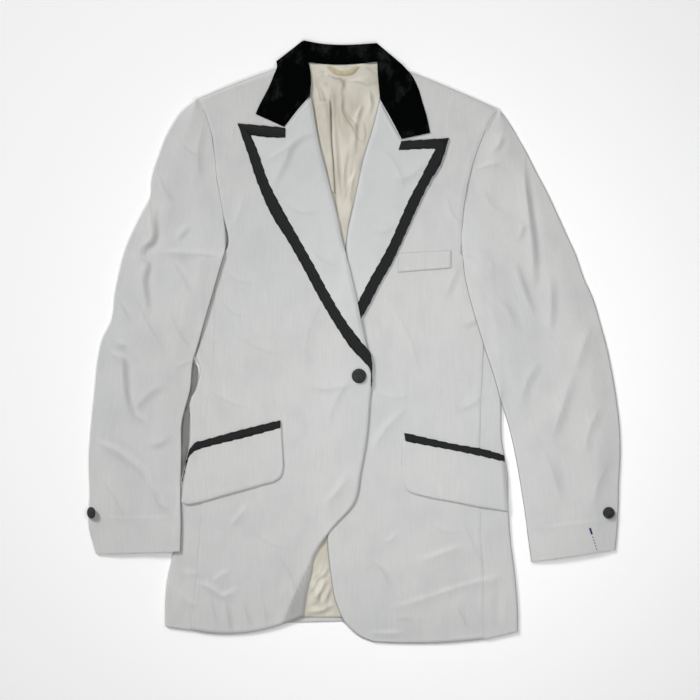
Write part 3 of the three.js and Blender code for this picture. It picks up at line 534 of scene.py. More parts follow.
def drawn(points: Array, lines: Sequence[Line], width: float) -> Array:
    """Marks the points that lie on lines.

    Args:
        points: Points whose last axis is x, y, in mm.
        lines: The lines.
        width: How wide a line is, in mm.

    Returns:
        The strength of the line at each point, and nought away from it.
    """
    marked = np.zeros(points.shape[:-1])
    for line in lines:
        path = bent(line.path, 5)
        for k, (start, end) in enumerate(zip(path[:-1], path[1:], strict=True)):
            way = end - start
            share = np.clip((points - start) @ way / (way @ way), 0.0, 1.0)
            away = np.linalg.norm(points - start - share[..., None] * way, axis=-1)
            fading = math.sqrt(math.sin(math.pi * (k + 0.5) / (len(path) - 1)))
            marked = np.maximum(marked, line.strength * fading * np.exp(-((away / width) ** 2)))
    return marked


def smooth_step(x: Array) -> Array:
    """Rises softly from nought to one as x does."""
    kept = np.clip(x, 0.0, 1.0)
    return kept * kept * (3.0 - 2.0 * kept)


def blurred(values: Array, sigma: float) -> Array:
    """Blurs a map with a bell curve.

    Args:
        values: The map.
        sigma: The width of the bell, in squares of the map.

    Returns:
        The blurred map, of the same size.
    """
    reach = max(1, math.ceil(2.5 * sigma))
    bell = np.exp(-0.5 * (np.arange(-reach, reach + 1) / sigma) ** 2)
    bell /= bell.sum()
    result = values
    for axis in (0, 1):
        padding = [(0, 0), (0, 0)]
        padding[axis] = (reach, reach)
        padded = np.pad(result, padding, mode="edge")
        size = values.shape[axis]
        result = sum(
            weight * np.take(padded, range(k, k + size), axis=axis) for k, weight in enumerate(bell)
        )
    return result


@dataclass(frozen=True)
class Plan:
    """The outline of a flat piece, as rows down it, and how closely it is divided, in mm."""

    rows: Sequence[Row]
    knee: float = 0.5
    corners: Sequence[int] = ()
    step: float = 3.0
    closer_across: Sequence[Point] = ()
    closer_along: Sequence[Point] = ()

    def across(self, us: Array) -> Array:
        """Places points along each row of the table.

        Args:
            us: Shares of the row's width.

        Returns:
            Points of shape (rows, shares, 2).
        """
        lines = []
        for row in self.rows:
            left = np.array([row.left[0] + HALF_SEAM, row.left[1]])
            right = np.array([row.right[0] - HALF_SEAM, row.right[1]])
            share = us[:, None]
            line = left + (right - left) * share
            if row.mid is not None:
                mid = np.array(row.mid)
                first = left + (mid - left) * share / self.knee
                second = mid + (right - mid) * (share - self.knee) / (1.0 - self.knee)
                line = np.where(share <= self.knee, first, second)
            line[:, 1] += row.bow * 4.0 * us * (1.0 - us)
            lines.append(line)
        return np.array(lines)

    def knots(self) -> Array:
        """Gives the place of each row, measured down the middle of the piece."""
        return lengths_along(self.across(np.array([0.0, 0.5, 1.0])).mean(axis=1))

    def width(self) -> float:
        """Gives the middle width of the rows."""
        ends = self.across(np.array([0.0, 1.0]))
        return float(np.median(np.linalg.norm(ends[:, 1] - ends[:, 0], axis=-1)))

    def points(self, us: Array, along: Array) -> Array:
        """Places points in the plan."""
        return spline(self.across(us), self.knots(), along, self.corners)

    def grid(self) -> Array:
        """Gives the points of the piece's mesh.

        Returns:
            Points of shape (rows, columns, 2), in mm.
        """
        width = self.width()
        us = lines_over(width, self.step, self.closer_across) / width
        return self.points(us, lines_over(self.knots()[-1], self.step, self.closer_along))

    def spread(self) -> Array:
        """Gives points so close that they leave no square of the height map out.

        Returns:
            Points of shape (rows, columns, 2), in mm.
        """
        us = np.linspace(0.0, 1.0, math.ceil(1.6 * self.width()) + 2)
        length = self.knots()[-1]
        return self.points(us, np.linspace(0.0, length, math.ceil(length) + 2))


@dataclass(frozen=True)
class Cut:
    """The flat size of a piece of cloth, in metres and square metres."""

    width: float
    length: float
    area: float

    @classmethod
    def of_plan(cls, points: Array) -> "Cut":
        """Measures a flat piece from the points of its plan.

        Args:
            points: Points of shape (rows, columns, 2), in mm.

        Returns:
            Its greatest width and length and its area.
        """
        across = np.linalg.norm(np.diff(points, axis=1), axis=-1).sum(axis=1).max()
        along = np.linalg.norm(np.diff(points, axis=0), axis=-1).sum(axis=0).max()
        first = points[1:, 1:] - points[:-1, :-1]
        second = points[1:, :-1] - points[:-1, 1:]
        area = 0.5 * np.abs(first[..., 0] * second[..., 1] - first[..., 1] * second[..., 0]).sum()
        whole = max(area, 0.31 * across * along)
        return cls(across * MM, along * MM, min(whole, across * along) * MM * MM)


class Pile:
    """How high the cloth already laid is, over a grid of small squares, in mm."""

    STEP = 2.0
    HALF_WIDTH = 400.0
    HALF_LENGTH = 446.0

    def __init__(self) -> None:
        """Starts with a bare floor."""
        columns = int(2 * self.HALF_WIDTH / self.STEP) + 1
        rows = int(2 * self.HALF_LENGTH / self.STEP) + 1
        self.height = np.full((rows, columns), -CLEAR)
        self.xs = np.linspace(-self.HALF_WIDTH, self.HALF_WIDTH, columns)
        self.ys = np.linspace(-self.HALF_LENGTH, self.HALF_LENGTH, rows)

    def squares(self, points: Array) -> tuple[Array, Array]:
        """Finds the squares in which points lie.

        Args:
            points: Points whose last axis is x, y.

        Returns:
            Their row and column numbers.
        """
        j = np.rint((points[..., 1] + self.HALF_LENGTH) / self.STEP).astype(int)
        i = np.rint((points[..., 0] + self.HALF_WIDTH) / self.STEP).astype(int)
        return j, i

    def mask(self, points: Array) -> Array:
        """Marks the squares in which points lie.

        Args:
            points: Points whose last axis is x, y.

        Returns:
            True in each such square.
        """
        marked = np.zeros(self.height.shape, bool)
        marked[self.squares(points)] = True
        return marked

    def drape(self, mask: Array, sigma: float, floor: Array | None = None, passes: int = 16) -> Array:
        """Lets a piece of cloth down on the pile.

        Args:
            mask: The squares that it covers.
            sigma: How stiff it is: the width in mm over which it spans an edge under it.
            floor: The height under it, where that isn't the pile's.
            passes: How often it is let down.

        Returns:
            The height of its underside, carried on a little way outside its edge.
        """
        rows = np.flatnonzero(mask.any(axis=1))
        columns = np.flatnonzero(mask.any(axis=0))
        margin = 8
        window = (
            slice(max(rows[0] - margin, 0), rows[-1] + margin + 1),
            slice(max(columns[0] - margin, 0), columns[-1] + margin + 1),
        )
        inside = mask[window]
        ground = (self.height if floor is None else floor)[window] + CLEAR
        weight = inside.astype(float)
        squares = sigma / self.STEP
        share = np.maximum(blurred(weight, squares), 1e-6)
        cloth = np.where(inside, ground, 0.0)
        for _ in range(passes):
            cloth = np.where(inside, np.maximum(ground, blurred(cloth * weight, squares) / share), 0.0)
        near = np.maximum(blurred(weight, 1.5), 1e-9)
        softened = blurred(cloth * weight, 1.5) / near
        cloth = np.where(inside, np.maximum(softened, ground - 0.5 * CLEAR), softened)
        result = np.zeros(self.height.shape)
        result[window] = cloth
        return result

    def add(self, mask: Array, top: Array) -> None:
        """Takes a piece into the pile."""
        self.height = np.where(mask, np.maximum(self.height, top), self.height)

    def sample(self, values: Array, points: Array) -> Array:
        """Reads a map at points, between its squares.

        Args:
            values: The map.
            points: Points whose last axis is x, y.

        Returns:
            The value at each point.
        """
        x = np.clip((points[..., 0] + self.HALF_WIDTH) / self.STEP, 0, values.shape[1] - 1.001)
        y = np.clip((points[..., 1] + self.HALF_LENGTH) / self.STEP, 0, values.shape[0] - 1.001)
        i, j = x.astype(int), y.astype(int)
        s, t = x - i, y - j
        low = values[j, i] * (1 - s) + values[j, i + 1] * s
        high = values[j + 1, i] * (1 - s) + values[j + 1, i + 1] * s
        return low * (1 - t) + high * t

    def creased(self, creases: Sequence[Crease]) -> Array:
        """Works out the height of creases over the whole map.

        Args:
            creases: The creases.

        Returns:
            Their height in each square.
        """
        total = np.zeros(self.height.shape)
        for crease in creases:
            path = bent(crease.path, 6)
            low = path.min(axis=0) - 4.0 * crease.width - 2 * self.STEP
            high = path.max(axis=0) + 4.0 * crease.width + 2 * self.STEP
            columns = np.flatnonzero((self.xs > low[0]) & (self.xs < high[0]))
            rows = np.flatnonzero((self.ys > low[1]) & (self.ys < high[1]))
            x, y = np.meshgrid(self.xs[columns], self.ys[rows])
            nearest = np.full(x.shape, 1e9)
            side = np.zeros(x.shape)
            place = np.zeros(x.shape)
            for k in range(len(path) - 1):
                ax, ay = path[k]
                dx, dy = path[k + 1] - path[k]
                length = math.hypot(dx, dy)
                s = np.clip(((x - ax) * dx + (y - ay) * dy) / length**2, 0.0, 1.0)
                away = np.hypot(x - ax - s * dx, y - ay - s * dy)
                closer = away < nearest
                nearest = np.where(closer, away, nearest)
                side = np.where(closer, np.sign((y - ay) * dx - (x - ax) * dy), side)
                place = np.where(closer, (k + s) / (len(path) - 1), place)
            taper = np.sqrt(np.sin(np.pi * np.clip(place, 0.02, 0.98)))
            signed = nearest * side
            beside = np.exp(-(((signed - 1.5 * crease.width) / (1.1 * crease.width)) ** 2))
            fade = np.clip(2.0 - 0.5 * nearest / crease.width, 0.0, 1.0)
            profile = np.exp(-(np.hypot(nearest, 1.3) - 1.3) / crease.width) * fade - crease.hollow * beside
            total[np.ix_(rows, columns)] += crease.height * taper * profile
        return total

    def waves(self, seed: int, size: float, height: float) -> Array:
        """Makes the slight unevenness that lies all over a piece of cloth.

        Args:
            seed: The number that the unevenness starts from.
            size: How wide a swell is, in mm.
            height: How high it is, in mm.

        Returns:
            The height in each square.
        """
        noise = np.random.default_rng(seed).standard_normal(self.height.shape)
        soft = blurred(noise, 0.35 * size / self.STEP)
        return height * soft / soft.std()


def placed(name: str, shape: bmesh.types.BMesh) -> Piece:
    """Turns a shape into an object in the scene, with its place in its mesh.

    Args:
        name: Its name.
        shape: The shape, which is used up.

    Returns:
        The object.
    """
    mesh = bpy.data.meshes.new(name)
    shape.to_mesh(mesh)
    shape.free()
    piece = bpy.data.objects.new(name, mesh)
    bpy.context.scene.collection.objects.link(piece)
    return piece


def sheet_mesh(name: str, points: Array, uv: Array, flip: bool = False, painted_shade: Array | None = None) -> Piece:
    """Bends a flat grid through points.

    Args:
        name: The piece's name.
        points: Points of shape (rows, columns, 3), in mm.
        uv: The place of each on the flat cloth, in metres.
        flip: True turns its faces over.
        painted_shade: How dark the painted shade is at each point, where there is any.

    Returns:
        The new object, in the scene.
    """
    rows, columns = points.shape[:2]
    cloth = bmesh.new()
    layer = cloth.loops.layers.uv.new("cloth")
    # A second UV layer carries the painted shade of each point to the finish
    wear_and_shade = cloth.loops.layers.uv.new("wear_and_shade")
    bmesh.ops.create_grid(cloth, x_segments=columns - 1, y_segments=rows - 1, size=0.5)
    places = {}
    shade_uv = {}
    for vertex in cloth.verts:
        i = round((vertex.co.x + 0.5) * (columns - 1))
        j = round((vertex.co.y + 0.5) * (rows - 1))
        places[vertex] = uv[j, i]
        shade_uv[vertex] = (0.0 if painted_shade is None else painted_shade[j, i], 0.0)
        vertex.co = Vector(points[j, i] * MM)
    for face in cloth.faces:
        face.smooth = True
        for loop in face.loops:
            loop[layer].uv = places[loop.vert]
            loop[wear_and_shade].uv = shade_uv[loop.vert]
    if flip:
        bmesh.ops.reverse_faces(cloth, faces=cloth.faces)
    return placed(name, cloth)


def thicken(piece: Piece, thickness: float, rounding: float = 0.45) -> None:
    """Gives a sheet its thickness, inwards from its faces, and rounds the cut edge.

    Args:
        piece: The sheet.
        thickness: Its thickness, in mm.
        rounding: How much of each edge is rounded off, in mm.
    """
    solid = piece.modifiers.new("thickness", "SOLIDIFY")
    solid.thickness = thickness * MM
    solid.offset = -1.0
    solid.use_quality_normals = True
    edge = piece.modifiers.new("edge", "BEVEL")
    edge.width = rounding * MM
    edge.segments = 2
    edge.limit_method = "ANGLE"
    edge.angle_limit = math.radians(55.0)
    edge.use_clamp_overlap = True


def dress(
    piece: Piece, node: str, finish: Material, cut: Cut | None,
) -> None:
    """Gives a finished piece its finish, hangs it under the root, and hides the solid that it stands for.

    Args:
        piece: The piece.
        node: The solid that it stands for.
        finish: Its finish.
        cut: Its flat size, or None where it isn't a sheet of cloth.
    """
    piece.data.materials.append(finish)
    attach(piece, "root")
    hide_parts(node)
    cut is not None and cut.width > LEAST_SHEET
    LOG.info("%s: %d faces before its thickness", piece.name, len(piece.data.polygons))


@dataclass
class LaidSheet:
    """A flat piece that is let down on the pile: its plan, its cloth, its edges and its creases.

    slack is how far hollows of the relief sink into it, swell the height of the ridge inside its stitched
    edges, follows whether its weave runs along it, and scallop how far its long edges swing out. lines and
    shade are painted shade on it, along creases and over shaded strips. laid_mask and laid_top keep where it
    lies until it joins the pile.
    """

    name: str
    plan: Plan
    thickness: float
    stiffness: float = 7.0
    left: Edge = field(default_factory=Edge)
    right: Edge = field(default_factory=Edge)
    top: Edge = field(default_factory=Edge)
    bottom: Edge = field(default_factory=Edge)
    swell: float = 0.0
    rounding: float = 0.3
    slack: float = 0.45
    follows: bool = False
    scallop: float = 0.0
    scallop_pitch: float = 15.0
    lines: Sequence[Line] = ()
    line_width: float = 1.5
    shade: Array | None = None
    laid_mask: Array | None = None
    laid_top: Array | None = None

    def lay(self, pile: Pile, relief: Array) -> tuple[Piece, Cut]:
        """Lays the piece and makes its mesh.

        Args:
            pile: The pile, which isn't changed yet, so that neighbours can be laid side by side.
            relief: The height of the creases over the map.

        Returns:
            The piece and its flat size.
        """
        mask = pile.mask(self.plan.spread())
        top = pile.drape(mask, self.stiffness) + self.thickness
        sunk = -self.slack * np.tanh(-np.minimum(relief, 0.0) / self.slack)
        raised = top + self.slack - 0.45 + np.maximum(relief, 0.0) + sunk
        points = self.scalloped(self.plan.grid())
        # Painted shade: along the cut edges, along the lines and over the shade map
        turned, painted_shade = self.edges(points)
        painted_shade = np.maximum(painted_shade, drawn(points, self.lines, self.line_width))
        if self.shade is not None:
            painted_shade = np.maximum(painted_shade, pile.sample(self.shade, points))
        height = pile.sample(raised, points) + turned
        height = np.maximum(height, self.thickness + 0.05)
        flat = self.weave(points) * MM
        piece = sheet_mesh(self.name, raised_to(points, height), flat, flip=True, painted_shade=painted_shade)
        thicken(piece, self.thickness, self.rounding)
        self.laid_top = np.where(mask, raised, -CLEAR)
        self.laid_mask = mask
        return piece, Cut.of_plan(points)

    def scalloped(self, points: Array) -> Array:
        """Lets both long edges of a ribbed piece swing out a little at even steps.

        Args:
            points: The points of its mesh in the plan, in mm.

        Returns:
            The points with their swing.
        """
        if not self.scallop:
            return points
        along = lengths_along(points.mean(axis=1))
        across = points[:, -1] - points[:, 0]
        way = across / np.linalg.norm(across, axis=-1, keepdims=True)
        swing = self.scallop * (np.mod(along / self.scallop_pitch, 1.0) - 0.5)
        share = np.linspace(-1.0, 1.0, points.shape[1])
        return points + way[:, None] * (swing[:, None] * np.abs(share) * share)[..., None]

    def weave(self, points: Array) -> Array:
        """Gives the place of each point on the flat cloth: that in the plan, or along the piece itself.

        Args:
            points: The points of its mesh in the plan, in mm.

        Returns:
            The places, in mm.
        """
        if not self.follows:
            return points
        from_top = np.repeat(lengths_along(points.mean(axis=1))[:, None], points.shape[1], axis=1)
        return np.stack([lengths_across(points), from_top], axis=-1)

    def join(self, pile: Pile) -> None:
        """Takes the laid piece into the pile."""
        pile.add(self.laid_mask, self.laid_top)

    def edges(self, points: Array) -> tuple[Array, Array]:
        """Works out how far the cloth turns down towards its edges and swells inside them.

        Args:
            points: The points of the mesh, in mm.

        Returns:
            The change of height at each, and the painted shade along the edges there.
        """
        from_left = lengths_across(points)
        from_top = lengths_across(points.swapaxes(0, 1)).T
        ways = [
            (from_left, self.left),
            (from_left[:, -1:] - from_left, self.right),
            (from_top, self.top),
            (from_top[-1:] - from_top, self.bottom),
        ]
        drop = np.zeros(points.shape[:2])
        painted_shade = np.zeros(points.shape[:2])
        nearest = np.full(points.shape[:2], 1e9)
        for away, edge in ways:
            drop = np.maximum(drop, edge.drop * (1.0 - smooth_step(away / edge.width)))
            # Painted shade along each edge, fading over a short width
            painted_shade = np.maximum(painted_shade, edge.painted_shade * (1.0 - smooth_step(away / EDGE_SHADE_WIDTH)))
            nearest = np.minimum(nearest, away)
        return self.swell * np.exp(-(((nearest - 4.5) / 2.6) ** 2)) - drop, painted_shade


@dataclass
class FoldedSheet:
    """A piece that goes round a fold: an upper leg, a turn, and a lower leg that lies on the floor.

    sway is a table of y and how far the fold is shifted there, in mm.
    """

    name: str
    stations: Sequence[Station]
    thickness: float
    step: float = 3.0
    turn_columns: int = 10
    lower: float = 0.0
    least_radius: float = 2.3
    sway: Sequence[Point] = ()

    def curves(self) -> tuple[Array, Array, Array]:
        """Gives the seam, the fold and the under edge, a point of each for every line of the mesh.

        Returns:
            The three lines, in mm.
        """
        tables = [
            np.array([getattr(station, part) for station in self.stations], float)
            for part in ("seam", "fold", "under")
        ]
        knots = lengths_along(tables[1])
        at = lines_over(knots[-1], self.step)
        seam, fold_line, under = (spline(table, knots, at) for table in tables)
        fold_line[:, 0] += shifts_at(self.sway, fold_line[:, 1])
        return seam, fold_line, under

    def spread(self) -> Array:
        """Gives points all over the upper leg, close enough for the height map.

        Returns:
            Points of shape (rows, columns, 2), in mm.
        """
        seam, fold_line, _ = self.curves()
        shares = np.linspace(0.0, 1.0, 60)[None, :, None]
        return thickened_rows(seam[:, None] + (fold_line - seam)[:, None] * shares)

    def make(self, pile: Pile, top: Array, flip: bool) -> tuple[Piece, Cut]:
        """Makes the piece's mesh.

        Args:
            pile: The pile that the map belongs to.
            top: The height of the upper leg over the map.
            flip: True turns its faces over.

        Returns:
            The piece and its flat size.
        """
        seam, fold_line, under = self.curves()
        inward = seam - fold_line
        length = np.linalg.norm(inward, axis=-1, keepdims=True)
        inward = inward / length
        beneath = under - fold_line
        beneath_length = np.linalg.norm(beneath, axis=-1, keepdims=True)
        beneath = beneath / beneath_length
        near_fold = pile.sample(top, fold_line + inward * np.minimum(7.0, 0.5 * length))
        radius = np.maximum((near_fold - self.lower) / 2.0, self.least_radius)
        width = float(np.median(length))
        upper = lines_over(width, self.step)[: -3] / width
        lines = []
        for share in upper:
            reach = length[:, 0] - HALF_SEAM
            away = reach - share * (reach - radius)
            place = fold_line + inward * away[:, None]
            settled = pile.sample(top, place)
            blend = smooth_step((away - radius) / 9.0)
            height = settled * blend + (self.lower + 2.0 * radius) * (1.0 - blend)
            height -= 0.08 * (1.0 - smooth_step((reach - away) / 2.2))
            lines.append(raised_to(place, height))
        for k in range(self.turn_columns + 1):
            angle = math.pi * (0.5 - k / self.turn_columns)
            way = inward if k * 2 <= self.turn_columns else beneath
            place = fold_line + way * (radius * (1.0 - math.cos(angle)))[:, None]
            lines.append(raised_to(place, self.lower + radius + radius * math.sin(angle)))
        for share in np.linspace(0.0, 1.0, max(3, int(np.median(beneath_length) / 5)))[1:]:
            away = radius + share * (beneath_length[:, 0] - HALF_SEAM - radius)
            place = fold_line + beneath * away[:, None]
            lines.append(raised_to(place, np.full(len(place), self.lower)))
        points = np.stack(lines, axis=1)
        around = lengths_across(points)
        down = lengths_along(fold_line)[:, None]
        flat = np.stack([around, np.repeat(down, around.shape[1], axis=1)], axis=-1)
        piece = sheet_mesh(self.name, points, flat * MM, flip)
        thicken(piece, self.thickness, 0.15)
        return piece, Cut.of_plan(flat)


class Value:
    """A number that varies over a surface, with arithmetic that adds Math nodes."""

    def __init__(self, tree: "Shader", socket: Socket) -> None:
        """Wraps an output socket of a shader."""
        self.tree = tree
        self.socket = socket

    def math(self, operation: str, *others: "Value | float", first: "Value | float | None" = None) -> "Value":
        """Adds a Math node.

        Args:
            operation: What it does.
            others: Its further values.
            first: A value to put before this one.

        Returns:
            Its result.
        """
        values = [self, *others] if first is None else [first, self, *others]
        node = self.tree.node("ShaderNodeMath", {"operation": operation}, dict(enumerate(values)))
        return Value(self.tree, node.outputs[0])

    def __add__(self, other: "Value | float") -> "Value":
        """Adds."""
        return self.math("ADD", other)

    __radd__ = __add__

    def __mul__(self, other: "Value | float") -> "Value":
        """Multiplies."""
        return self.math("MULTIPLY", other)

    __rmul__ = __mul__

    def __sub__(self, other: "Value | float") -> "Value":
        """Takes other away."""
        return self.math("SUBTRACT", other)

    def __rsub__(self, other: "Value | float") -> "Value":
        """Is taken away from other."""
        return self.math("SUBTRACT", first=other)

    def __pow__(self, power: float) -> "Value":
        """Raises to a power."""
        return self.math("POWER", power)

    def ridges(self, pitch: float) -> "Value":
        """Makes even ridges from nought to one."""
        return (self * (2.0 * math.pi / pitch)).math("SINE") * 0.5 + 0.5

    def between(self, low: float, high: float) -> "Value":
        """Goes softly from nought at low to one at high.

        Args:
            low: Where it leaves nought.
            high: Where it reaches one.

        Returns:
            The soft step.
        """
        inputs = {"Value": self, "From Min": low, "From Max": high}
        node = self.tree.node("ShaderNodeMapRange", {"interpolation_type": "SMOOTHSTEP"}, inputs)
        return Value(self.tree, node.outputs[0])


class Shader:
    """The node tree of one material."""

    def __init__(self, name: str) -> None:
        """Starts a material with a Principled shader.

        Args:
            name: The material's name.
        """
        self.material = bpy.data.materials.new(name)
        self.material.use_nodes = True
        self.nodes = self.material.node_tree.nodes
        self.links = self.material.node_tree.links
        self.nodes.clear()
        self.surface = self.node("ShaderNodeBsdfPrincipled", {}, {})
        self.node("ShaderNodeOutputMaterial", {}, {"Surface": self.surface.outputs[0]})

    def node(self, kind: str, settings: dict, inputs: dict) -> bpy.types.Node:
        """Adds a node.

        Args:
            kind: Its type.
            settings: Its own settings, which are set first.
            inputs: A value, a Value or a socket for each input, by name or number.

        Returns:
            The node.
        """
        node = self.nodes.new(kind)
        for key, setting in settings.items():
            setattr(node, key, setting)
        self.fill(node, inputs)
        return node

    def fill(self, node: bpy.types.Node, inputs: dict) -> None:
        """Links or sets inputs of a node.

        Args:
            node: The node.
            inputs: A value, a Value or a socket for each input, by name or number.
        """
        for key, given in inputs.items():
            source = given.socket if isinstance(given, Value) else given
            if isinstance(source, Socket):
                self.links.new(source, node.inputs[key])
            else:
                node.inputs[key].default_value = source

    def cloth_place(self) -> tuple[Value, Value, Socket]:
        """Gives the place on the flat cloth, in metres: across, along, and both as a vector."""
        place = self.node("ShaderNodeUVMap", {"uv_map": "cloth"}, {}).outputs[0]
        return *self.parts(place), place

    def wear_and_shade(self) -> Value:
        """Gives the painted shade that the mesh carries in its second UV layer, from nought to one."""
        return self.parts(self.node("ShaderNodeUVMap", {"uv_map": "wear_and_shade"}, {}).outputs[0])[0]

    def object_place(self) -> Socket:
        """Gives the place in the object's own frame, in metres."""
        return self.node("ShaderNodeTexCoord", {}, {}).outputs["Object"]

    def parts(self, place: Socket) -> tuple[Value, Value]:
        """Gives the first two parts of a vector."""
        node = self.node("ShaderNodeSeparateXYZ", {}, {0: place})
        return Value(self, node.outputs[0]), Value(self, node.outputs[1])

    def noise(self, place: Socket, scale: Colour, detail: float = 3.0, rough: float = 0.5) -> Value:
        """Makes an uneven pattern.

        Args:
            place: The coordinates that it lies on.
            scale: How many swells there are in a metre, along each axis.
            detail: How many finer layers it has.
            rough: How strong the finer layers are.

        Returns:
            A value from nought to one.
        """
        mapped = self.node("ShaderNodeMapping", {}, {"Vector": place, "Scale": scale}).outputs[0]
        inputs = {"Vector": mapped, "Scale": 1.0, "Detail": detail, "Roughness": rough}
        return Value(self, self.node("ShaderNodeTexNoise", {}, inputs).outputs[0])

    def mixed(self, share: Value, first: Colour | Socket, second: Colour | Socket) -> Socket:
        """Mixes two colours.

        Args:
            share: How much of the second there is.
            first: A colour or a socket.
            second: A colour or a socket.

        Returns:
            The mixed colour.
        """
        colours = [(*c, 1.0) if isinstance(c, tuple) else c for c in (first, second)]
        inputs = {0: share, 6: colours[0], 7: colours[1]}
        return self.node("ShaderNodeMix", {"data_type": "RGBA"}, inputs).outputs[2]

    def finish(
        self, colour: Colour | Socket, rough: Value | float, relief: Value, depth: float,
    ) -> Material:
        """Joins a finish to the surface.

        Args:
            colour: The base colour.
            rough: The roughness.
            relief: The height of the fine relief, from nought to one.
            depth: The depth of that relief, in metres.

        Returns:
            The material.
        """
        bump = self.node("ShaderNodeBump", {}, {"Strength": 1.0, "Distance": depth, "Height": relief})
        base = (*colour, 1.0) if isinstance(colour, tuple) else colour
        self.fill(self.surface, {"Base Color": base, "Roughness": rough, "Normal": bump.outputs[0]})
        return self.material


@dataclass(frozen=True)
class Linen:
    """Plain-woven linen with slubs along it."""

    name: str = "linen"
    pale: Colour = (0.665, 0.662, 0.645)
    cool: Colour = (0.635, 0.642, 0.64)
    slubs: float = 0.09
    # The colour of the painted shade
    shade_colour: Colour = (0.11, 0.11, 0.105)
    relief: float = 1.0
    marked: bool = False

    def material(self) -> Material:
        """Makes the finish.

        Returns:
            The material.
        """
        shader = Shader(self.name)
        across, along, place = shader.cloth_place()
        patches = shader.noise(shader.object_place(), (7.0, 5.0, 7.0), 2.0)
        ground = shader.mixed(patches.between(0.35, 0.65), self.pale, self.cool)
        mottle = shader.noise(shader.object_place(), (34.0, 26.0, 30.0), 3.0)
        duller = tuple(c * 0.955 for c in self.cool)
        ground = shader.mixed(mottle.between(0.42, 0.72), ground, duller)
        streaks = shader.noise(place, (560.0, 22.0, 1.0), 3.0, 0.6)
        slubs = shader.noise(place, (620.0, 48.0, 1.0), 2.0, 0.5).between(0.6, 0.78)
        specks = shader.noise(place, (700.0, 700.0, 1.0), 1.0)
        tone = streaks.between(0.25, 0.75) * 0.6 + specks * 0.4
        darker = tuple(c * (1.0 - 2.0 * self.slubs) for c in self.cool)
        colour = shader.mixed((1.0 - tone) * 0.5, ground, darker)
        brighter = tuple(min(1.0, c * 1.05) for c in self.pale)
        colour = shader.mixed(slubs * 0.4, colour, brighter)
        # Painted shade along cut edges, creases and shaded strips, carried in the mesh's second UV layer
        colour = shader.mixed(shader.wear_and_shade(), colour, self.shade_colour)
        if self.marked:
            colour = shader.mixed(self.pen_mark(shader), colour, (0.02, 0.025, 0.09))
        warp = across.ridges(0.0009)
        weft = along.ridges(0.0010)
        relief = warp * weft * 0.35 + streaks * 0.9 + slubs * 0.6 + specks * 0.4
        shader.fill(shader.surface, {"Sheen Weight": 0.06, "Specular IOR Level": 0.25})
        return shader.finish(colour, 0.88, relief, 0.00022 * self.relief)

    def pen_mark(self, shader: Shader) -> Value:
        """Draws the short blue pen mark over the hem of a cuff: a dash and a row of dots.

        Args:
            shader: The material.

        Returns:
            One on the mark and nought off it.
        """
        start, end = (0.3244, -0.2560), (0.3350, -0.2885)
        angle = math.atan2(end[1] - start[1], end[0] - start[0])
        settings = {"vector_type": "TEXTURE"}
        inputs = {"Vector": shader.object_place(), "Location": (*start, 0.0), "Rotation": (0.0, 0.0, angle)}
        way, beside = shader.parts(shader.node("ShaderNodeMapping", settings, inputs).outputs[0])
        length = math.hypot(end[0] - start[0], end[1] - start[1])
        off = beside.math("ABSOLUTE")
        thin = 1.0 - off.between(0.0004, 0.0010)
        thick = 1.0 - off.between(0.0010, 0.0018)
        dash = way.between(-0.0004, 0.0004) * (1.0 - way.between(0.0085, 0.0105)) * thick
        dots = way.between(0.0105, 0.0115) * (1.0 - way.between(length - 0.0005, length + 0.0005))
        dotted = dots * (way.ridges(0.0042).between(0.45, 0.75) * 0.8 + 0.1)
        return (dash + thin * dotted).math("MINIMUM", 1.0)


@dataclass(frozen=True)
class Satin:
    """Cream lining satin."""

    name: str = "lining_satin"
    light: Colour = (0.69, 0.655, 0.57)
    shade: Colour = (0.52, 0.487, 0.40)
    # The colour of the painted fold shadows
    fold_shade: Colour = (0.15, 0.115, 0.075)

    def material(self) -> Material:
        """Makes the finish.

        Returns:
            The material.
        """
        shader = Shader(self.name)
        across, along, place = shader.cloth_place()
        patches = shader.noise(place, (26.0, 12.0, 1.0), 3.0)
        threads = shader.noise(place, (1500.0, 60.0, 1.0), 2.0)
        twill = (across + along).ridges(0.0007)
        colour = shader.mixed(patches.between(0.35, 0.7), self.light, self.shade)
        colour = shader.mixed(threads.between(0.55, 0.8) * 0.3, colour, self.shade)
        # Painted fold shadows, and painted shade along the edges
        colour = shader.mixed(shader.wear_and_shade(), colour, self.fold_shade)
        shader.fill(shader.surface, {"Sheen Weight": 0.15, "Anisotropic": 0.4})
        return shader.finish(colour, patches * 0.12 + 0.36, twill * 0.4 + threads * 0.6, 0.00006)


@dataclass(frozen=True)
class Velvet:
    """Black cotton velvet, whose uneven pile catches the light: painted sheen in patches, more towards the
    top of the collar.
    """

    name: str = "collar_velvet"
    deep: Colour = (0.0006, 0.0008, 0.0008)
    # The colour of the painted sheen
    painted_sheen: Colour = (0.019, 0.0205, 0.0205)

    def material(self) -> Material:
        """Makes the finish.

        Returns:
            The material.
        """
        shader = Shader(self.name)
        place = shader.object_place()
        nap = shader.noise(place, (55.0, 38.0, 40.0), 4.0, 0.6)
        tufts = shader.noise(place, (520.0, 420.0, 500.0), 2.0, 0.7)
        # Painted sheen: patches where the pile catches the light, stronger towards the top of the collar
        upper = shader.parts(place)[1].between(0.345, 0.405)
        painted_sheen = (nap + upper * 0.10).between(0.53, 0.74) * (tufts.between(0.3, 0.75) * 0.8 + 0.2)
        colour = shader.mixed(painted_sheen, self.deep, self.painted_sheen)
        sheen = {"Sheen Weight": 0.012, "Sheen Roughness": 0.3, "Specular IOR Level": 0.03}
        shader.fill(shader.surface, sheen)
        return shader.finish(colour, 0.9, tufts * 0.6 + nap * 0.4, 0.0006)


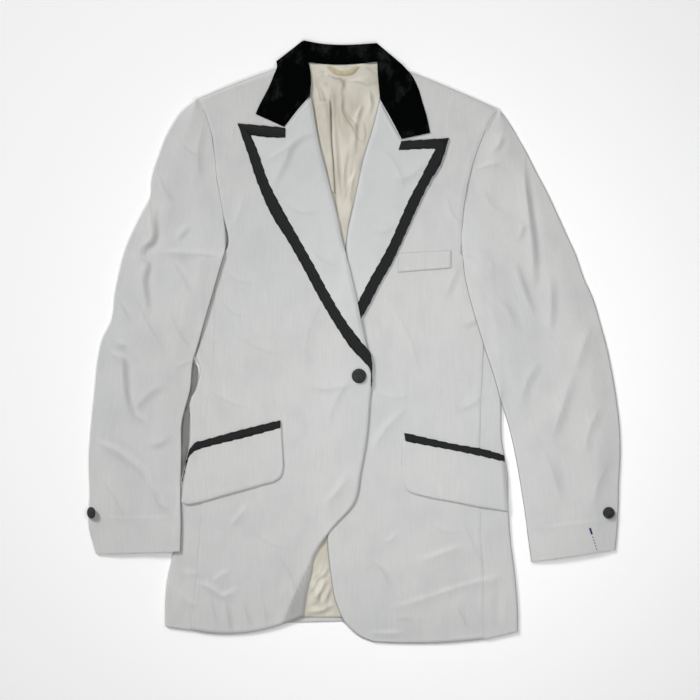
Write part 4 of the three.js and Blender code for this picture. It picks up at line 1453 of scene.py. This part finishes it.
@dataclass(frozen=True)
class Braid:
    """Charcoal ribbed braid."""

    name: str = "ribbed_braid"
    dark: Colour = (0.0045, 0.005, 0.0055)
    light: Colour = (0.027, 0.030, 0.031)
    width: float = 0.0155

    def material(self) -> Material:
        """Makes the finish: ribs in a herringbone along the braid, and a darker cord at both edges.

        Returns:
            The material.
        """
        shader = Shader(self.name)
        across, along, place = shader.cloth_place()
        half = self.width / 2.0
        from_middle = (across - half).math("ABSOLUTE")
        inside = 1.0 - from_middle.between(half - 0.0022, half - 0.0008)
        ribs = (along + from_middle * 0.7).ridges(0.0017)
        cords = across.ridges(self.width / 4.0)
        wear_and_shade = shader.noise(place, (900.0, 420.0, 1.0), 3.0, 0.6)
        relief = ribs * 0.55 + cords * 0.3 + wear_and_shade * 0.4
        lit = (relief * 0.8).between(0.25, 0.9) * (inside * 0.85 + 0.15)
        colour = shader.mixed(lit, self.dark, self.light)
        shader.fill(shader.surface, {"Sheen Weight": 0.06, "Specular IOR Level": 0.25})
        return shader.finish(colour, 0.72, relief, 0.0007)


@dataclass(frozen=True)
class ButtonCloth:
    """The dark cloth that covers the buttons."""

    name: str = "button_cloth"
    dark: Colour = (0.012, 0.0125, 0.013)
    light: Colour = (0.042, 0.044, 0.046)

    def material(self) -> Material:
        """Makes the finish.

        Returns:
            The material.
        """
        shader = Shader(self.name)
        place = shader.object_place()
        warp, weft = (part.ridges(0.0009) for part in shader.parts(place))
        wear_and_shade = shader.noise(place, (240.0, 240.0, 240.0), 3.0)
        colour = shader.mixed(warp * weft * 0.5 + wear_and_shade.between(0.35, 0.7) * 0.5, self.dark, self.light)
        shader.fill(shader.surface, {"Specular IOR Level": 0.35})
        return shader.finish(colour, 0.62, warp * weft, 0.00018)


@dataclass(frozen=True)
class Tape:
    """The cream tape of the hanging loop."""

    name: str = "loop_tape"
    light: Colour = (0.74, 0.64, 0.42)
    shade: Colour = (0.52, 0.42, 0.24)

    def material(self) -> Material:
        """Makes the finish.

        Returns:
            The material.
        """
        shader = Shader(self.name)
        across, along, place = shader.cloth_place()
        ribs = (across + along).ridges(0.0009)
        patches = shader.noise(place, (160.0, 160.0, 1.0), 2.0)
        colour = shader.mixed(patches.between(0.3, 0.8) * 0.6 + ribs * 0.25, self.light, self.shade)
        return shader.finish(colour, 0.55, ribs, 0.0002)


@dataclass(frozen=True)
class PaleFloor:
    """The plain floor."""

    name: str = "pale_floor"
    tone: Colour = (0.93, 0.93, 0.93)

    def material(self) -> Material:
        """Makes the finish.

        Returns:
            The material.
        """
        shader = Shader(self.name)
        grain = shader.noise(shader.object_place(), (300.0, 300.0, 300.0), 1.0)
        shader.fill(shader.surface, {"Emission Color": (1.0, 1.0, 1.0, 1.0), "Emission Strength": 0.13})
        return shader.finish(self.tone, 0.9, grain, 0.00002)


@dataclass
class Wardrobe:
    """The finishes, made once and shared by the pieces."""

    linen: Material = field(default_factory=Linen().material)
    cuff_linen: Material = field(default_factory=Linen("linen_with_pen_mark", marked=True).material)
    lapel_linen: Material = field(
        default_factory=Linen(
            "lapel_linen", pale=(0.65, 0.655, 0.65), cool=(0.625, 0.64, 0.64), slubs=0.035, relief=0.6
        ).material
    )
    satin: Material = field(default_factory=Satin().material)
    velvet: Material = field(default_factory=Velvet().material)
    braid: Material = field(default_factory=Braid().material)
    pocket_braid: Material = field(default_factory=Braid("pocket_braid", width=0.0105).material)
    button_cloth: Material = field(default_factory=ButtonCloth().material)
    tape: Material = field(default_factory=Tape().material)


def crease_lines(creases: Sequence[Crease]) -> list[Line]:
    """Gives a faint line of painted shade along each crease."""
    return [Line(0.085 * abs(crease.height) ** 0.5, crease.path) for crease in creases]


def paired_rows(left: Sequence[Point], right: Sequence[Point]) -> list[Row]:
    """Joins two edges of a piece, point by point, into rows."""
    return [Row(a, b) for a, b in zip(left, right, strict=True)]


@dataclass
class Sewn:
    """A part of the jacket, with the pile that it is laid on and the finishes of its cloth."""

    pile: Pile
    wardrobe: Wardrobe


@dataclass
class CollarBack(Sewn):
    """The back of the collar: its stand inside the neck, its roll, and its fall under the back.

    height is that of its roll at the middle of the neck, and rise how much higher it is at both ends.
    """

    thickness: float = 2.0
    radius: float = 2.3
    fall: float = 2.0
    height: float = 5.4
    rise: float = 2.9

    def build(self) -> None:
        """Makes the back of the collar and puts its fall on the pile."""
        sheet = FoldedSheet(
            "collar_back_velvet", COLLAR_BACK_ROWS, self.thickness, turn_columns=12, least_radius=self.radius
        )
        _, fold_line, under = sheet.curves()
        shares = np.linspace(0.0, 1.0, 50)[None, :, None]
        lower = fold_line[:, None] + (under - fold_line)[:, None] * shares
        finer = np.concatenate([lower + np.array([dx, 0.0]) for dx in (-1.0, 0.0, 1.0)])
        away = np.abs(self.pile.xs[None, :] - float(np.mean(fold_line[:, 0])))
        roll = self.height + self.rise * smooth_step((away - 22.0) / 26.0)
        piece, cut = sheet.make(self.pile, np.repeat(roll, len(self.pile.ys), axis=0), flip=True)
        self.pile.add(self.pile.mask(finer), np.full(self.pile.height.shape, self.fall))
        dress(piece, "collar_back", self.wardrobe.velvet, cut)


@dataclass
class Back(Sewn):
    """The two back panels and the lining that lies on them."""

    cloth: float = 1.6
    lining: float = 1.0
    centre: float = -16.0
    hem: float = -385.0

    def rows(self, side: Side) -> list[Row]:
        """Gives the rows of a back panel, from its outer edge and the centre seam.

        Args:
            side: Which panel it is.

        Returns:
            Its rows, from the shoulder down.
        """
        left = side is Side.LEFT
        stations = SIDE_LEFT if left else SIDE_RIGHT
        outer = [*(ARMHOLE_LEFT if left else ARMHOLE_RIGHT), *(station.under for station in stations)]
        rows = []
        for k, point in enumerate(outer):
            inner = (self.centre, {0: 379.0, 1: 350.0, len(outer) - 1: self.hem}.get(k, point[1]))
            neck = (-73 + 4 * k if left else 36 - 2 * k, 385 - 33 * k) if k < 2 else None
            rows.append(Row(point, inner, neck) if left else Row(inner, point, neck))
        return rows

    def build(self) -> None:
        """Lays both panels and then the lining."""
        relief = np.maximum(self.pile.creased(BACK_CREASES) + self.pile.waves(3, 60, 0.12), 0.0)
        laid = []
        for side, knee in ((Side.LEFT, 4 / 6), (Side.RIGHT, 2 / 6)):
            node = f"back_{side.value}"
            sheet = LaidSheet(node + "_linen", Plan(self.rows(side), knee, step=5.0), self.cloth)
            piece, cut = sheet.lay(self.pile, relief)
            dress(piece, node, self.wardrobe.linen, cut)
            laid.append(sheet)
        for sheet in laid:
            sheet.join(self.pile)
        plan = Plan(LINING_ROWS, step=4.8, closer_across=[(131, 246)], closer_along=[(0, 242), (676, 770)])
        lining = LaidSheet(
            "back_lining_satin", plan, self.lining, 4.0, slack=1.3, top=Edge(2.6, 16.0), lines=LINING_FOLD_SHADOWS,
            line_width=1.2,
        )
        piece, cut = lining.lay(self.pile, self.pile.creased(LINING_CREASES) + self.pile.waves(5, 18, 0.5))
        dress(piece, "back_lining", self.wardrobe.satin, cut)
        lining.join(self.pile)


@dataclass
class Trimming:
    """A small piece that is sewn on: its sheet, its solid, its slot and finish, and what is under it."""

    sheet: LaidSheet
    node: str
    slot: Slot
    finish: Material
    under: str
    relief: Array | None


@dataclass
class Front(Sewn):
    """One front with all that is sewn on it, laid in order: panel, lapel, collar end, pockets, braid."""

    side: Side
    cloth: float = 2.2
    lapel_cloth: float = 1.8
    collar_cloth: float = 2.3
    flap_cloth: float = 1.3
    braid_cloth: float = 1.0
    welt_cloth: float = 0.9
    facing_depth: float = 0.9
    facing_shade: float = 0.4

    def panel_rows(self) -> list[Row]:
        """Gives the rows of the panel, from its closing edge and its armhole and side seam.

        Returns:
            Its rows, from the shoulder down.
        """
        if self.side is Side.LEFT:
            rows = paired_rows([*ARMHOLE_LEFT, *(station.seam for station in SIDE_LEFT)], FRONT_LEFT_EDGE)
            hem_bow = -14.0
        else:
            rows = paired_rows(FRONT_RIGHT_EDGE, [*ARMHOLE_RIGHT, *(station.seam for station in SIDE_RIGHT)])
            hem_bow = -4.0
        rows[0] = Row(rows[0].left, rows[0].right, bow=2.0)
        rows[-1] = Row(rows[-1].left, rows[-1].right, bow=hem_bow)
        return rows

    def strip(
        self, node: str, slot: Slot, finish: Material, rows: Sequence[Row], thickness: float, under: str,
        relief: Array | None = None, **shape: object,
    ) -> Trimming:
        """Describes a small piece that lies on the panel.

        Args:
            node: Its solid.
            slot: Its slot.
            finish: Its finish.
            rows: Its plan.
            thickness: How thick its cloth is, in mm.
            under: The name of what it lies on.
            relief: The height of its creases, where it has any.
            shape: Its knee and corners, and what else a laid sheet takes.

        Returns:
            The piece, ready to be laid.
        """
        plan = Plan(rows, shape.pop("knee", 0.5), shape.pop("corners", ()), step=2.2)
        sheet = LaidSheet(f"{node}_{FINISH_NAMES[slot]}", plan, thickness, stiffness=5.0, **shape)
        return Trimming(sheet, node, slot, finish, under, relief)

    def braid(
        self, node: str, finish: Material, rows: Sequence[Row], under: str, **shape: object
    ) -> Trimming:
        """Describes a strip of braid, whose ribs follow it and whose edges are slightly scalloped.

        Args:
            node: Its solid.
            finish: Its finish.
            rows: Its plan.
            under: The name of what it lies on.
            shape: What else a strip takes.

        Returns:
            The braid, ready to be laid.
        """
        return self.strip(
            node, Slot.BRAID, finish, rows, self.braid_cloth, under, follows=True, scallop=1.0, **shape
        )

    def collar_end(self, rows: Sequence[Row], folds: Array, **edges: Edge) -> Trimming:
        """Describes the end of the collar that lies on this front.

        Args:
            rows: Its plan.
            folds: The height of its creases over the map.
            edges: Its side edges.

        Returns:
            The collar end, ready to be laid.
        """
        side = self.side.value
        return self.strip(
            f"collar_{side}", Slot.VELVET, self.wardrobe.velvet, rows, self.collar_cloth,
            f"front_{side}_linen", folds, corners=(4,), top=Edge(5.5, 9.0), bottom=Edge(1.2, 3.0),
            swell=0.3, **edges,
        )

    def lapel(self, rows: Sequence[Row], folds: Array, **shape: object) -> Trimming:
        """Describes the lapel of this front.

        Args:
            rows: Its plan.
            folds: The height of its creases over the map.
            shape: What else a strip takes.

        Returns:
            The lapel, ready to be laid.
        """
        side = self.side.value
        return self.strip(
            f"lapel_{side}", Slot.CLOTH, self.wardrobe.lapel_linen, rows, self.lapel_cloth,
            f"front_{side}_linen", folds, swell=0.3, lines=crease_lines(LAPEL_CREASES), **shape,
        )

    def lay_all(self, trimmings: Sequence[Trimming]) -> None:
        """Lays pieces side by side on the pile, and then takes them all into it.

        Args:
            trimmings: The pieces.
        """
        for trimming in trimmings:
            relief = np.zeros(self.pile.height.shape) if trimming.relief is None else trimming.relief
            piece, cut = trimming.sheet.lay(self.pile, relief)
            dress(piece, trimming.node, trimming.finish, cut)
        for trimming in trimmings:
            trimming.sheet.join(self.pile)

    def build_panel(self, relief: Array) -> LaidSheet:
        """Lays the panel, without taking it into the pile.

        Args:
            relief: The height of the creases over the map.

        Returns:
            The laid panel.
        """
        node = f"front_{self.side.value}"
        # The closing edges get a line of painted shade where they sit over the cloth beneath; the seams get
        # none
        seam = Edge(0.08, 2.0, 0.0)
        if self.side is Side.LEFT:
            left, right = seam, Edge(1.1, 3.4, 0.5)
        else:
            left, right = Edge(1.1, 3.4, 0.8), seam
        panel = LaidSheet(
            node + "_linen", Plan(self.panel_rows(), step=2.3), self.cloth, PANEL_STIFFNESS, left, right,
            Edge(2.6, 5.0), Edge(1.1, 3.0), swell=0.35, rounding=0.15, slack=1.0,
            lines=crease_lines(FRONT_CREASES),
        )
        if self.side is Side.LEFT:
            # The strip by the hem is sunk a little and painted in shade, with a painted shadow line along it
            turned = blurred(self.pile.mask(Plan(FACING_ROWS).spread()).astype(float), 0.8)
            relief = relief - self.facing_depth * turned
            panel.shade = self.facing_shade * turned
            panel.lines = [*panel.lines, *FACING_LINES]
        piece, cut = panel.lay(self.pile, relief)
        dress(piece, node, self.wardrobe.linen, cut)
        return panel

    def build_right(self, relief: Array) -> None:
        """Lays the right-hand front, its lapel, collar end, welt and lapel braid.

        Args:
            relief: The height of the creases over the map.
        """
        self.build_panel(relief).join(self.pile)
        folds, velvet_folds = self.pile.creased(LAPEL_CREASES), self.pile.creased(COLLAR_CREASES)
        self.lay_all([
            # The lapel's edge towards the middle gets a line of painted shade
            self.lapel(LAPEL_RIGHT_ROWS, folds, knee=2 / 5, left=Edge(2.0, 6.0, 0.7)),
            self.collar_end(
                COLLAR_RIGHT_ROWS, velvet_folds, left=Edge(2.4, 7.0), right=Edge(1.2, 3.5)
            ),
            self.strip(
                "breast_welt", Slot.CLOTH, self.wardrobe.linen, WELT_ROWS, self.welt_cloth,
                "front_right_linen", swell=0.1,
            ),
        ])
        self.lay_all([
            self.braid(
                "lapel_braid_right", self.wardrobe.braid, BRAID_RIGHT_ROWS, "lapel_right_linen", corners=(2,)
            ),
        ])

    def build_left(self, relief: Array) -> None:
        """Lays the left-hand front over the right-hand one, and the fold of lining beside it.

        Args:
            relief: The height of the creases over the map.
        """
        panel = self.build_panel(relief)
        self.lay_all([
            self.strip(
                "lining_fold", Slot.LINING, self.wardrobe.satin, LINING_FOLD_ROWS, 1.0, "back_lining_satin",
                self.pile.creased(LINING_CREASES) * 0.5, swell=0.6, left=Edge(0.7, 2.4, 0.0),
                # Its right edge gets a line of painted shade
                right=Edge(0.7, 2.4, 0.8), top=Edge(1.9, 24.0, 0.0),
            ),
        ])
        panel.join(self.pile)

    def trim(self) -> None:
        """Lays the lapel and collar end of the left-hand side, both flaps, and the braid over them."""
        folds, velvet_folds = self.pile.creased(LAPEL_CREASES), self.pile.creased(COLLAR_CREASES)
        slight = self.pile.waves(11, 44, 0.15)
        braided = (("left", FLAP_LEFT_ROWS, "top"), ("right", FLAP_RIGHT_ROWS, "bottom"))
        # Each flap gets a faint line of painted shadow along its bottom edge
        flaps = [
            self.strip(
                f"pocket_flap_{side}", Slot.CLOTH, self.wardrobe.linen, rows, self.flap_cloth,
                f"front_{side}_linen", slight, swell=0.2, right=Edge(0.6, 2.4, 0.16),
                **{over_edge: Edge(2.4, 6.0)},
            )
            for side, rows, over_edge in braided
        ]
        self.lay_all([
            # The lapel's edge towards the middle gets a line of painted shade
            self.lapel(LAPEL_LEFT_ROWS, folds, knee=3 / 5, right=Edge(2.0, 6.0, 0.45)),
            self.collar_end(
                COLLAR_LEFT_ROWS, velvet_folds, right=Edge(2.4, 7.0), left=Edge(1.2, 3.5)
            ),
            *flaps,
            self.strip(
                "hanger_loop", Slot.TAPE, self.wardrobe.tape, HANGER_ROWS, 1.0, "back_lining_satin", swell=0.2
            ),
        ])
        self.lay_all([
            self.braid(
                "lapel_braid_left", self.wardrobe.braid, BRAID_LEFT_ROWS, "lapel_left_linen", corners=(2,)
            ),
            self.braid(
                "pocket_braid_left", self.wardrobe.pocket_braid, POCKET_BRAID_LEFT_ROWS,
                "pocket_flap_left_linen", top=Edge(2.2, 44.0),
            ),
            self.braid(
                "pocket_braid_right", self.wardrobe.pocket_braid, POCKET_BRAID_RIGHT_ROWS,
                "pocket_flap_right_linen", bottom=Edge(2.4, 6.0),
            ),
        ])


@dataclass
class SidePanel(Sewn):
    """A side panel, which turns the front of the body into the back.

    rise is how far its upper side lies above what is under it, and least its lowest height at the fold.
    """

    side: Side
    cloth: float = 1.9
    rise: float = 2.75
    least: float = 4.4
    deepest: float = 0.8

    def build(self, relief: Array, ground: Array) -> None:
        """Makes the panel and takes its upper leg into the pile.

        Args:
            relief: The height of the creases over the map.
            ground: The height of what the fronts lie on too, so that both meet at one height.
        """
        left = self.side is Side.LEFT
        node = f"side_{self.side.value}"
        stations, sway = (SIDE_LEFT, SIDE_LEFT_SWAY) if left else (SIDE_RIGHT, ())
        sheet = FoldedSheet(node + "_linen", stations, self.cloth, sway=sway)
        mask = self.pile.mask(sheet.spread())
        raised = self.pile.drape(mask, PANEL_STIFFNESS, ground) + self.rise
        top = np.maximum(raised + np.maximum(relief, -self.deepest), self.least)
        piece, cut = sheet.make(self.pile, top, flip=not left)
        self.pile.add(mask, top)
        dress(piece, node, self.wardrobe.linen, cut)


@dataclass(frozen=True)
class SleeveLines:
    """What both parts of a sleeve are made from, with one value for each line across it, in mm.

    at is the place of the line down the sleeve, way points from its outer edge to its inner one, joined is
    one where the sleeve is sewn to the body, and radius is that of its outer roll. underarm is the place
    down the sleeve where it begins to part from the body.
    """

    underarm: float
    at: Array
    outer: Array
    inner: Array
    width: Array
    way: Array
    joined: Array
    radius: Array

    def place(self, reach: Array) -> Array:
        """Gives a point on each line, at its own distance from the outer edge."""
        return self.outer + self.way * reach[:, None]


@dataclass
class Sleeve(Sewn):
    """A sleeve laid beside the body: an under sleeve on the floor and a top sleeve that rolls round it.

    bulge is how far its middle swells above its edges, shoulder how far in from an edge it does so, and
    parting the length over which it parts from the body. under_reach is a table of y and how much further
    the under sleeve reaches there, past the inner edge: a strip painted in shade that fills the gap beside
    the body. at_seam is the share of the bulge at the armhole.
    """

    side: Side
    outer: Sequence[Point]
    armhole: Sequence[Point]
    inner: Sequence[Point]
    creases: Sequence[Crease]
    seed: int
    under_reach: Sequence[Point] = ()
    edge_height: float = 5.2
    bulge: float = 3.2
    shoulder: float = 34.0
    parting: float = 24.0
    at_seam: float = 0.35
    top_cloth: float = 2.0
    under_cloth: float = 1.5
    step: float = 2.4
    roll_columns: int = 8
    roll_end: float = math.radians(-65.0)

    def measure(self) -> SleeveLines:
        """Works out the lines across the sleeve.

        Returns:
            The lines, from the shoulder to the cuff.
        """
        outer = np.array(self.outer, float)
        inner = np.array([*self.armhole, *self.inner], float)
        knots = lengths_along((outer + inner) / 2.0)
        underarm = knots[len(self.armhole) - 1] - 10.0
        at = lines_over(knots[-1], self.step)
        outer_line = spline(outer, knots, at)
        inner_line = spline(inner, knots, at)
        across = inner_line - outer_line
        width = np.linalg.norm(across, axis=-1)
        joined = 1.0 - smooth_step((at - underarm) / self.parting)
        radius = np.minimum(self.edge_height / 2.0, 0.3 * width)
        way = across / width[:, None]
        return SleeveLines(underarm, at, outer_line, inner_line, width, way, joined, radius)

    def settle(self, lines: SleeveLines) -> tuple[Array, Array]:
        """Lets the sleeve down on the floor and on the body.

        Args:
            lines: The lines across the sleeve.

        Returns:
            The squares that it covers, and the height of its underside over the map.
        """
        shares = np.linspace(0.0, 1.0, 150)[None, :, None]
        spread = thickened_rows(lines.outer[:, None] + (lines.inner - lines.outer)[:, None] * shares)
        mask = self.pile.mask(spread)
        floor = self.pile.height.copy()
        floor[self.pile.squares(spread[np.repeat(lines.at, 3) < lines.underarm + 6.0])] = -CLEAR
        return mask, self.pile.drape(mask, PANEL_STIFFNESS, floor)

    def top_points(self, lines: SleeveLines, base: Array, folds: Array) -> Array:
        """Places the points of the top sleeve, from its outer roll to its inner one.

        Args:
            lines: The lines across the sleeve.
            base: The height of the sleeve's underside over the map.
            folds: The height of its creases.

        Returns:
            Points of shape (lines, columns, 3), in mm.
        """
        radius, joined, width = lines.radius, lines.joined, lines.width
        columns = []
        for k in range(self.roll_columns + 1):
            angle = self.roll_end + (math.pi / 2.0 - self.roll_end) * k / self.roll_columns
            height = self.pile.sample(base, lines.place(radius)) + radius * (1.0 + math.sin(angle))
            columns.append(raised_to(lines.place(radius * (1.0 - math.cos(angle))), height))
        number = self.across(lines)
        inner_radius = radius * (1.0 - joined)
        for k in range(1, number):
            reach = radius + k / number * (width - radius - inner_radius)
            place = lines.place(reach)
            from_outer = smooth_step(reach / np.minimum(self.shoulder, 0.5 * width))
            from_inner = smooth_step((width - reach) / np.minimum(self.shoulder, 0.5 * width))
            sewn = self.at_seam + (1.0 - self.at_seam) * from_inner
            body = from_outer * (from_inner * (1.0 - joined) + joined * sewn)
            height = self.pile.sample(base, place) + 2.0 * radius + self.bulge * body
            creased = np.minimum(from_outer, from_inner * (1.0 - joined) + joined)
            height += self.pile.sample(folds, place) * creased
            columns.append(raised_to(place, height))
        inner_base = self.pile.sample(base, lines.inner - lines.way * np.maximum(inner_radius, 2.0)[:, None])
        seam_height = inner_base + 2.0 * radius + self.bulge * self.at_seam * joined
        for k in range(self.roll_columns + 1):
            share = k / self.roll_columns
            angle = math.pi / 2.0 + (self.roll_end - math.pi / 2.0) * share
            rolled = lines.inner - lines.way * (inner_radius * (1.0 - math.cos(angle)) + HALF_SEAM)[:, None]
            tuck = float(HALF_SEAM + 0.9 * (1.0 - smooth_step(np.array(share * 2.0))))
            tucked = lines.inner - lines.way * tuck
            place = rolled * (1.0 - joined)[:, None] + tucked * joined[:, None]
            rolled_height = inner_base + radius * (1.0 + math.sin(angle))
            tucked_height = seam_height - 2.4 * share**1.6
            columns.append(raised_to(place, rolled_height * (1.0 - joined) + tucked_height * joined))
        return np.stack(columns, axis=1)

    def across(self, lines: SleeveLines) -> int:
        """Gives the number of steps across the sleeve between its rolls."""
        return max(8, int(float(np.median(lines.width)) / self.step))

    def build_top(self, points: Array, lines: SleeveLines) -> None:
        """Makes the top sleeve from its points.

        Args:
            points: The points, in mm.
            lines: The lines across the sleeve.
        """
        node = f"sleeve_{self.side.value}_top"
        painted_shade = np.zeros(points.shape[:2])
        turn = np.linspace(0.0, 1.0, self.roll_columns + 1)
        # Painted shade on the inner roll, which lies in shadow beside the body; less where it is sewn on
        painted_shade[:, -len(turn):] = (0.85 - 0.4 * lines.joined)[:, None] * smooth_step((turn - 0.18) / 0.25)
        painted_shade = np.maximum(painted_shade, drawn(points[..., :2], crease_lines(self.creases), 1.5))
        around = lengths_across(points)
        centred = around - around[:, -1:] / 2.0
        flat = np.stack([centred, np.repeat(lines.at[:, None], around.shape[1], axis=1)], axis=-1)
        top = sheet_mesh(node + "_linen", points, flat * MM, self.side is Side.LEFT, painted_shade)
        thicken(top, self.top_cloth, 0.15)
        finish = self.wardrobe.linen if self.side is Side.LEFT else self.wardrobe.cuff_linen
        dress(top, node, finish, Cut.of_plan(flat))

    def build_under(self, lines: SleeveLines, base: Array) -> None:
        """Makes the under sleeve, whose edges lie inside both rolls of the top sleeve.

        Args:
            lines: The lines across the sleeve.
            base: The height of the sleeve's underside over the map.
        """
        node = f"sleeve_{self.side.value}_under"
        inset = lines.radius * (1.0 - math.cos(self.roll_end)) + 0.9
        reached = shifts_at(self.under_reach, lines.inner[:, 1])
        reach_across = lines.width - inset - (inset * (1.0 - lines.joined) + 0.5) + reached
        shares = np.linspace(0.0, 1.0, max(6, self.across(lines) // 2))
        from_end = reach_across[:, None] * (1.0 - shares)
        # The strip past the inner edge is painted in shade, as the gap beside the body is
        painted_shade = 0.8 * smooth_step((reached[:, None] + 1.0 - from_end) / 3.0) * (reached > 0.5)[:, None]
        places = [lines.place(inset + share * reach_across) for share in shares]
        points = np.stack([raised_to(place, self.pile.sample(base, place)) for place in places], axis=1)
        flat = points[..., :2]
        under = sheet_mesh(node + "_linen", points, flat * MM, self.side is Side.RIGHT, painted_shade)
        thicken(under, self.under_cloth)
        dress(under, node, self.wardrobe.linen, Cut.of_plan(flat))

    def build(self) -> None:
        """Makes both parts of the sleeve and takes them into the pile."""
        lines = self.measure()
        mask, base = self.settle(lines)
        folds = self.pile.creased(self.creases) + self.pile.waves(self.seed, 46, 0.52)
        self.build_top(self.top_points(lines, base, folds), lines)
        self.build_under(lines, base)
        self.pile.add(mask, base + self.edge_height + self.bulge + folds)


@dataclass
class CoveredButton(Sewn):
    """A button covered with dark cloth: a domed cap, a rolled rim, and a flat back.

    x, y, radius and height are in mm; lean is how far it tips to the left, in degrees, and lift the gap
    under it.
    """

    node: str
    x: float
    y: float
    radius: float
    height: float
    lean: float = 0.0
    lift: float = 0.2
    steps: int = 40

    def profile(self) -> list[Point]:
        """Gives the outline of the button, from the middle of its back to the middle of its dome.

        Returns:
            Points of radius and height, as shares of the button's own.
        """
        return [
            (0.0, 0.0), (0.5, 0.0), (0.78, 0.0), (0.90, 0.07), (0.97, 0.22), (1.0, 0.42), (0.985, 0.60),
            (0.93, 0.72), (0.88, 0.735), (0.83, 0.74), (0.70, 0.83), (0.45, 0.94), (0.2, 0.99),
            (0.0, 1.0),
        ]

    def build(self) -> None:
        """Makes the button and seats it on the cloth under it."""
        cap = bmesh.new()
        rim = [cap.verts.new((r * self.radius, 0.0, z * self.height)) for r, z in self.profile()]
        edges = [cap.edges.new(pair) for pair in zip(rim[:-1], rim[1:], strict=True)]
        bmesh.ops.spin(
            cap, geom=[*rim, *edges], cent=(0, 0, 0), axis=(0, 0, 1), dvec=(0, 0, 0),
            angle=2.0 * math.pi, steps=self.steps, use_merge=True, use_duplicate=False,
        )
        bmesh.ops.remove_doubles(cap, verts=cap.verts, dist=1e-4)
        bmesh.ops.recalc_face_normals(cap, faces=cap.faces)
        lean = math.radians(self.lean)
        if self.lean:
            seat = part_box(self.node)[0][2] / MM + self.radius * math.sin(lean)
        else:
            under = np.array([(-1, 0), (-0.5, 0), (0, 0), (0.5, 0), (1, 0), (0, -1), (0, 1)])
            spots = np.array([self.x, self.y]) + under * self.radius
            seat = float(self.pile.sample(self.pile.height, spots).max()) + self.lift
        for vertex in cap.verts:
            x, y, z = vertex.co
            turned = (x * math.cos(lean) - z * math.sin(lean), y, x * math.sin(lean) + z * math.cos(lean))
            vertex.co = Vector((turned[0] + self.x, turned[1] + self.y, turned[2] + seat)) * MM
        for face in cap.faces:
            face.smooth = True
        dress(placed(self.node + "_covered", cap), self.node, self.wardrobe.button_cloth, None)


@dataclass
class Studio:
    """The pale floor, the soft lights and the camera straight above, as the photograph was taken."""

    middle: Point = (-0.0054, -0.0114)
    distance: float = 3.0
    frame_width: float = 0.9625
    sensor: float = 36.0

    def build(self) -> None:
        """Sets the studio up."""
        floor = bmesh.new()
        bmesh.ops.create_grid(floor, x_segments=1, y_segments=1, size=6.0)
        for vertex in floor.verts:
            vertex.co.z = -0.0002
        plane = placed("studio_floor", floor)
        plane.data.materials.append(PaleFloor().material())
        self.light("key_light", (-4.1, 4.5, 5.1), 2.4, 420.0)
        self.light("pool_light", (0.12, -0.11, 0.8), 0.35, 2.9)
        self.light("low_light", (0.6, -2.6, 2.6), 1.8, 5.0)
        world = bpy.data.worlds.new("soft_room")
        world.use_nodes = True
        back = world.node_tree.nodes["Background"]
        back.inputs[0].default_value = (1.0, 1.0, 1.0, 1.0)
        back.inputs[1].default_value = 0.15
        scene = bpy.context.scene
        scene.world = world
        scene.view_settings.view_transform = "Standard"
        camera = bpy.data.objects.new("camera", bpy.data.cameras.new("camera"))
        scene.collection.objects.link(camera)
        camera.location = (*self.middle, self.distance)
        camera.data.sensor_width = self.sensor
        camera.data.lens = self.sensor * (self.distance - 0.008) / self.frame_width
        scene.camera = camera

    def light(self, name: str, place: Colour, size: float, watts: float) -> None:
        """Adds a soft light that shines on the jacket.

        Args:
            name: Its name.
            place: Where it stands, in metres.
            size: How wide it is, in metres.
            watts: Its power.
        """
        lamp = bpy.data.lights.new(name, "AREA")
        lamp.size = size
        lamp.energy = watts
        thing = bpy.data.objects.new(name, lamp)
        thing.location = place
        thing.rotation_euler = (-Vector(place)).to_track_quat("-Z", "Y").to_euler()
        bpy.context.scene.collection.objects.link(thing)


def main() -> None:
    """Builds the jacket in the order in which its cloth lies."""
    logging.basicConfig(level=logging.INFO, format="%(name)s: %(message)s")
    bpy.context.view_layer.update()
    Studio().build()
    wardrobe = Wardrobe()
    pile = Pile()
    CollarBack(pile, wardrobe).build()
    Back(pile, wardrobe).build()
    relief = pile.creased(FRONT_CREASES) + pile.creased(FRONT_SEAMS)
    relief += pile.waves(7, 64, 0.45) + pile.waves(8, 22, 0.1)
    ground = pile.height.copy()
    left = Front(pile, wardrobe, Side.LEFT)
    Front(pile, wardrobe, Side.RIGHT).build_right(relief)
    left.build_left(relief)
    for side in Side:
        SidePanel(pile, wardrobe, side).build(relief, ground)
    left.trim()
    for side, outer, armhole, inner, creases, seed, reach in (
        (Side.LEFT, SLEEVE_LEFT_OUTER, ARMHOLE_LEFT, SLEEVE_LEFT_INNER, SLEEVE_LEFT_CREASES, 17,
         SLEEVE_LEFT_UNDER_REACH),
        (Side.RIGHT, SLEEVE_RIGHT_OUTER, ARMHOLE_RIGHT, SLEEVE_RIGHT_INNER, SLEEVE_RIGHT_CREASES, 23, ()),
    ):
        Sleeve(pile, wardrobe, side, outer, armhole, inner, creases, seed, reach).build()
    for node, x, y, radius, height, lean in (
        ("front_button", 7, -47, 10, 4.6, 0), ("cuff_button_right", 350, -235, 8, 3.6, 0),
        ("cuff_button_left", -360, -235, 8, 3.6, 40),
    ):
        CoveredButton(pile, wardrobe, node, x, y, radius, height, lean).build()


if __name__ == "__main__":
    main()
